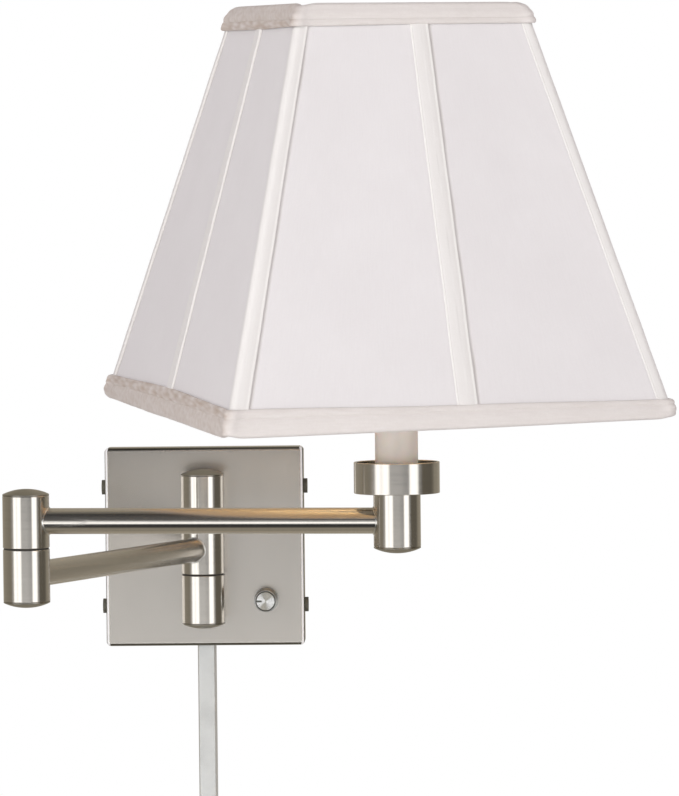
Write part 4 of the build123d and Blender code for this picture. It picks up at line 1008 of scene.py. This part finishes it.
for face, face_name in enumerate(FACE_NAMES):
    panel(f"shade_panel_{face_name}_a", face, -1, panel_cloth)
    panel(f"shade_panel_{face_name}_b", face, 1, panel_cloth)
    tape(f"seam_tape_{face_name}_middle", face, "middle", tape_cloth)
    tape(f"seam_tape_{face_name}_corner", face, "corner", tape_cloth)
lining(lining_material)
trim("top_trim", SHADE_TOP, -1, 120, trim_cloth, 31.0)
trim("bottom_trim", SHADE_BOTTOM, 1, 230, trim_cloth, 47.0)

# The beads' nickel is much lighter than the arms': a painted highlight along the joints
bead_highlight_metal = plated("bead_nickel_painted_highlight", (0.92, 0.91, 0.88), roughness=(0.16, 0.24), grain=0.0006)
END_PIVOT = middle_of("end_knuckle")
front_run = END_PIVOT - ELBOW_PIVOT
front_height = middle_of("front_arm_tube").z
bead("bead_rear_arm_wall", REAR_PIVOT, REAR_RUN, REAR_PIVOT.z, "rear_arm", bead_highlight_metal)
bead("bead_rear_arm_elbow", ELBOW_PIVOT, -REAR_RUN, REAR_PIVOT.z, "rear_arm", bead_highlight_metal)
bead("bead_front_arm_elbow", ELBOW_PIVOT, front_run, front_height, "front_arm", bead_highlight_metal)
bead("bead_front_arm_end", END_PIVOT, -front_run, front_height, "front_arm", bead_highlight_metal)


# ---------------- studio

# Light on the cloth: an even fill from all round, and softboxes that face a point in front of the wall
FILL = (0.382, 0.344, 0.350)
LIGHT_TINT = (0.985, 1.0, 0.985)
LIT_POINT = Vector((0, -0.2, 0.15))

# The room that metal reflects, as (angle, brightness, warmth), and the brightness of its softboxes.
# Azimuths are in degrees to the right of straight out from the wall, elevations above the horizon.
SOFTBOX = 2.1
HORIZON = (
    # far wall, from behind the lamp round to its left
    (-180, 0.42, 1.0), (-150, 0.38, 1.0), (-136, 0.32, 1.0), (-122, 0.30, 1.0), (-82, 0.25, 1.0),
    (-63, 0.28, 0.6),
    # left softbox, with a bar down its middle
    (-57, 1.80, 0.0), (-50, 2.10, 0.0), (-42, 1.55, 0.0), (-32, 2.10, 0.0), (-23, 1.90, 0.0),
    # gap in front
    (-17, 0.33, 0.0), (10, 0.29, 0.0), (23, 0.14, 0.0), (32, 0.18, 0.0),
    # right softbox
    (37, 1.90, 0.0), (46, 2.10, 0.0), (57, 1.80, 0.0),
    # far wall, from the lamp's right round behind it
    (63, 0.12, 0.5), (76, 0.14, 1.0), (104, 0.13, 1.0), (114, 0.19, 1.0), (122, 0.30, 1.0),
    (134, 0.31, 1.0), (152, 0.37, 1.0), (166, 0.41, 1.0), (180, 0.42, 1.0),
)
HEIGHTS = (
    # ground, and the dark above it
    (-90, 0.26, 1.0), (-66, 0.34, 1.0), (-54, 0.10, 0.5), (-47, 0.045, 0.0), (-28, 0.05, 0.0),
    # bright strip below the horizon
    (-22, 0.60, 0.0), (-18, 1.75, 0.0), (-10, 1.55, 0.0), (-4, 0.60, 0.0),
    # room, and the ceiling
    (5, 0.20, 0.0), (16, 0.12, 0.0), (30, 0.11, 0.0), (45, 0.07, 0.0), (62, 0.045, 0.0),
    (75, 0.20, 0.7), (90, 0.30, 1.0),
)
# Where the horizon's tones stand for the heights' tones, from 0 to 1: in a band at eye level, behind the
# lamp, and beside it up to a height
BAND = ((-90, 0.0), (-9, 0.0), (-5, 1.0), (0, 1.0), (5, 0.0), (90, 0.0))
BACK = ((-180, 1.0), (-115, 1.0), (-100, 0.0), (100, 0.0), (115, 1.0), (180, 1.0))
SIDES = ((-180, 1.0), (-74, 1.0), (-62, 0.0), (64, 0.0), (74, 1.0), (180, 1.0))
TALL = ((-90, 0.0), (-55, 0.0), (-42, 1.0), (42, 1.0), (55, 0.0), (90, 0.0))


def grey(level, warmth):
    """A room tone as a share of the softboxes' brightness, from neutral to a warm grey."""
    level /= SOFTBOX
    return (level, level * (1 - 0.09 * warmth), level * (1 - 0.26 * warmth))


def on_arc(azimuth, distance, height):
    """A place round the lamp: azimuth in degrees to the right of straight out from the wall."""
    angle = math.radians(azimuth)
    centre = middle_of("backplate")
    return Vector((centre.x + distance * math.sin(angle), centre.y - distance * math.cos(angle), height))


def add_light(name, data, place):
    """Puts a light in the scene, unseen by the camera and by reflections."""
    light = bpy.data.objects.new(name, data)
    light.location = place
    light.visible_camera = False
    light.visible_glossy = False
    bpy.context.scene.collection.objects.link(light)
    return light


def softbox(name, place, size, radiance):
    """A large soft light on the cloth, which faces the lamp and is that bright."""
    data = bpy.data.lights.new(name, "AREA")
    data.shape = "RECTANGLE"
    data.size, data.size_y = size
    data.energy = radiance * math.pi * size[0] * size[1]
    data.color = LIGHT_TINT
    light = add_light(name, data, place)
    light.rotation_mode = "QUATERNION"
    light.rotation_quaternion = (LIT_POINT - place).to_track_quat("-Z", "Y")


def lining_light(watts):
    """Warm light inside the shade, between the bulb and the spider."""
    data = bpy.data.lights.new("lining_light", "POINT")
    data.energy = watts
    data.color = (1.0, 0.88, 0.60)
    data.shadow_soft_size = 0.02
    _, bulb_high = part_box("bulb_glass")
    add_light("lining_light", data, (SEAT.x, SEAT.y, bulb_high.z + 0.03))


def studio_world():
    """White behind the object, even light on cloth, and a room with two softboxes for metal to reflect."""
    world = bpy.data.worlds.new("studio")
    world.use_nodes = True
    sky = Nodes(world.node_tree)
    x, y, z = sky.parts(sky.node("ShaderNodeTexCoord").outputs["Generated"])
    heading = sky.math("ARCTAN2", x, sky.math("MULTIPLY", y, -1.0))
    azimuth = sky.math("ADD", sky.math("DIVIDE", heading, 2 * math.pi), 0.5)
    elevation = sky.math("ADD", sky.math("DIVIDE", sky.math("ARCSINE", z), math.pi), 0.5)

    def by_angle(share, half, colour_of, stops):
        return sky.ramp(share, [((angle + half) / (2 * half), colour_of(*tone)) for angle, *tone in stops])

    def mask(level):
        return (level,) * 3

    tall, band = [by_angle(elevation, 90, mask, stops) for stops in (TALL, BAND)]
    sides, back = [by_angle(azimuth, 180, mask, stops) for stops in (SIDES, BACK)]

    def background(colour, strength=1.0):
        made = sky.put(sky.node("ShaderNodeBackground"), Color=colour, Strength=strength)
        return made.outputs["Background"]

    by_horizon = sky.math("MAXIMUM", sky.math("MAXIMUM", band, back), sky.math("MULTIPLY", sides, tall))
    heights = by_angle(elevation, 90, grey, HEIGHTS)
    horizon = by_angle(azimuth, 180, grey, HORIZON)
    reflected = background(sky.mixed_colour(by_horizon, heights, horizon), SOFTBOX)
    rays = sky.node("ShaderNodeLightPath").outputs
    lit = sky.mixed(rays["Is Glossy Ray"], background((*FILL, 1)), reflected)
    seen = sky.mixed(rays["Is Camera Ray"], lit, background((1, 1, 1, 1)))
    sky.put(sky.node("ShaderNodeOutputWorld"), Surface=seen)
    bpy.context.scene.world = world


def floor():
    """A plain pale floor under the lamp, which is clear from below."""
    half, drop = 3.0, 0.12
    low = cad_low.z - drop
    mesh = bpy.data.meshes.new("floor")
    corners = [(x * half, y * half, low) for x, y in ((-1, -1), (1, -1), (1, 1), (-1, 1))]
    mesh.from_pydata(corners, [], [(0, 1, 2, 3)])
    shader = Shader("pale_floor")
    cloud = shader.noise(shader.place((0.8, 0.8, 0.8)), detail=2.0)
    shader.colours(cloud, (0.80, 0.80, 0.80), (0.84, 0.84, 0.84))
    shader.set(Roughness=0.9)
    pale = shader.node("ShaderNodeEmission").outputs["Emission"]
    clear = shader.node("ShaderNodeBsdfTransparent").outputs["BSDF"]
    camera_ray = shader.node("ShaderNodeLightPath").outputs["Is Camera Ray"]
    backfacing = shader.node("ShaderNodeNewGeometry").outputs["Backfacing"]
    from_above = shader.mixed(camera_ray, shader.surface.outputs["BSDF"], pale)
    shader.put(shader.output, Surface=shader.mixed(backfacing, from_above, clear))
    mesh.materials.append(shader.material)
    ground = bpy.data.objects.new("floor", mesh)
    ground.visible_glossy = False
    bpy.context.scene.collection.objects.link(ground)


def camera():
    """The photograph's camera."""
    data = bpy.data.cameras.new("camera")
    data.lens = CAMERA_LENS
    data.sensor_width = SENSOR
    level = Matrix.Rotation(CAMERA_YAW, 4, "Z")
    tilt = Matrix.Rotation(QUARTER + CAMERA_PITCH, 4, "X")
    turn = level @ tilt @ Matrix.Rotation(CAMERA_ROLL, 4, "Z")
    eye = bpy.data.objects.new("camera", data)
    eye.matrix_world = Matrix.Translation(CAMERA_PLACE) @ turn
    bpy.context.scene.collection.objects.link(eye)
    bpy.context.scene.camera = eye


studio_world()
floor()
camera()
softbox("key_softbox", on_arc(-10, 2.3, 0.55), (2.2, 2.2), 2.42)
softbox("side_softbox", on_arc(106, 2.2, 0.45), (1.2, 2.2), 1.50)
softbox("back_softbox", on_arc(-160, 2.2, 0.6), (1.4, 1.8), 1.70)
lining_light(0.27)
bpy.context.scene.view_settings.view_transform = "Standard"
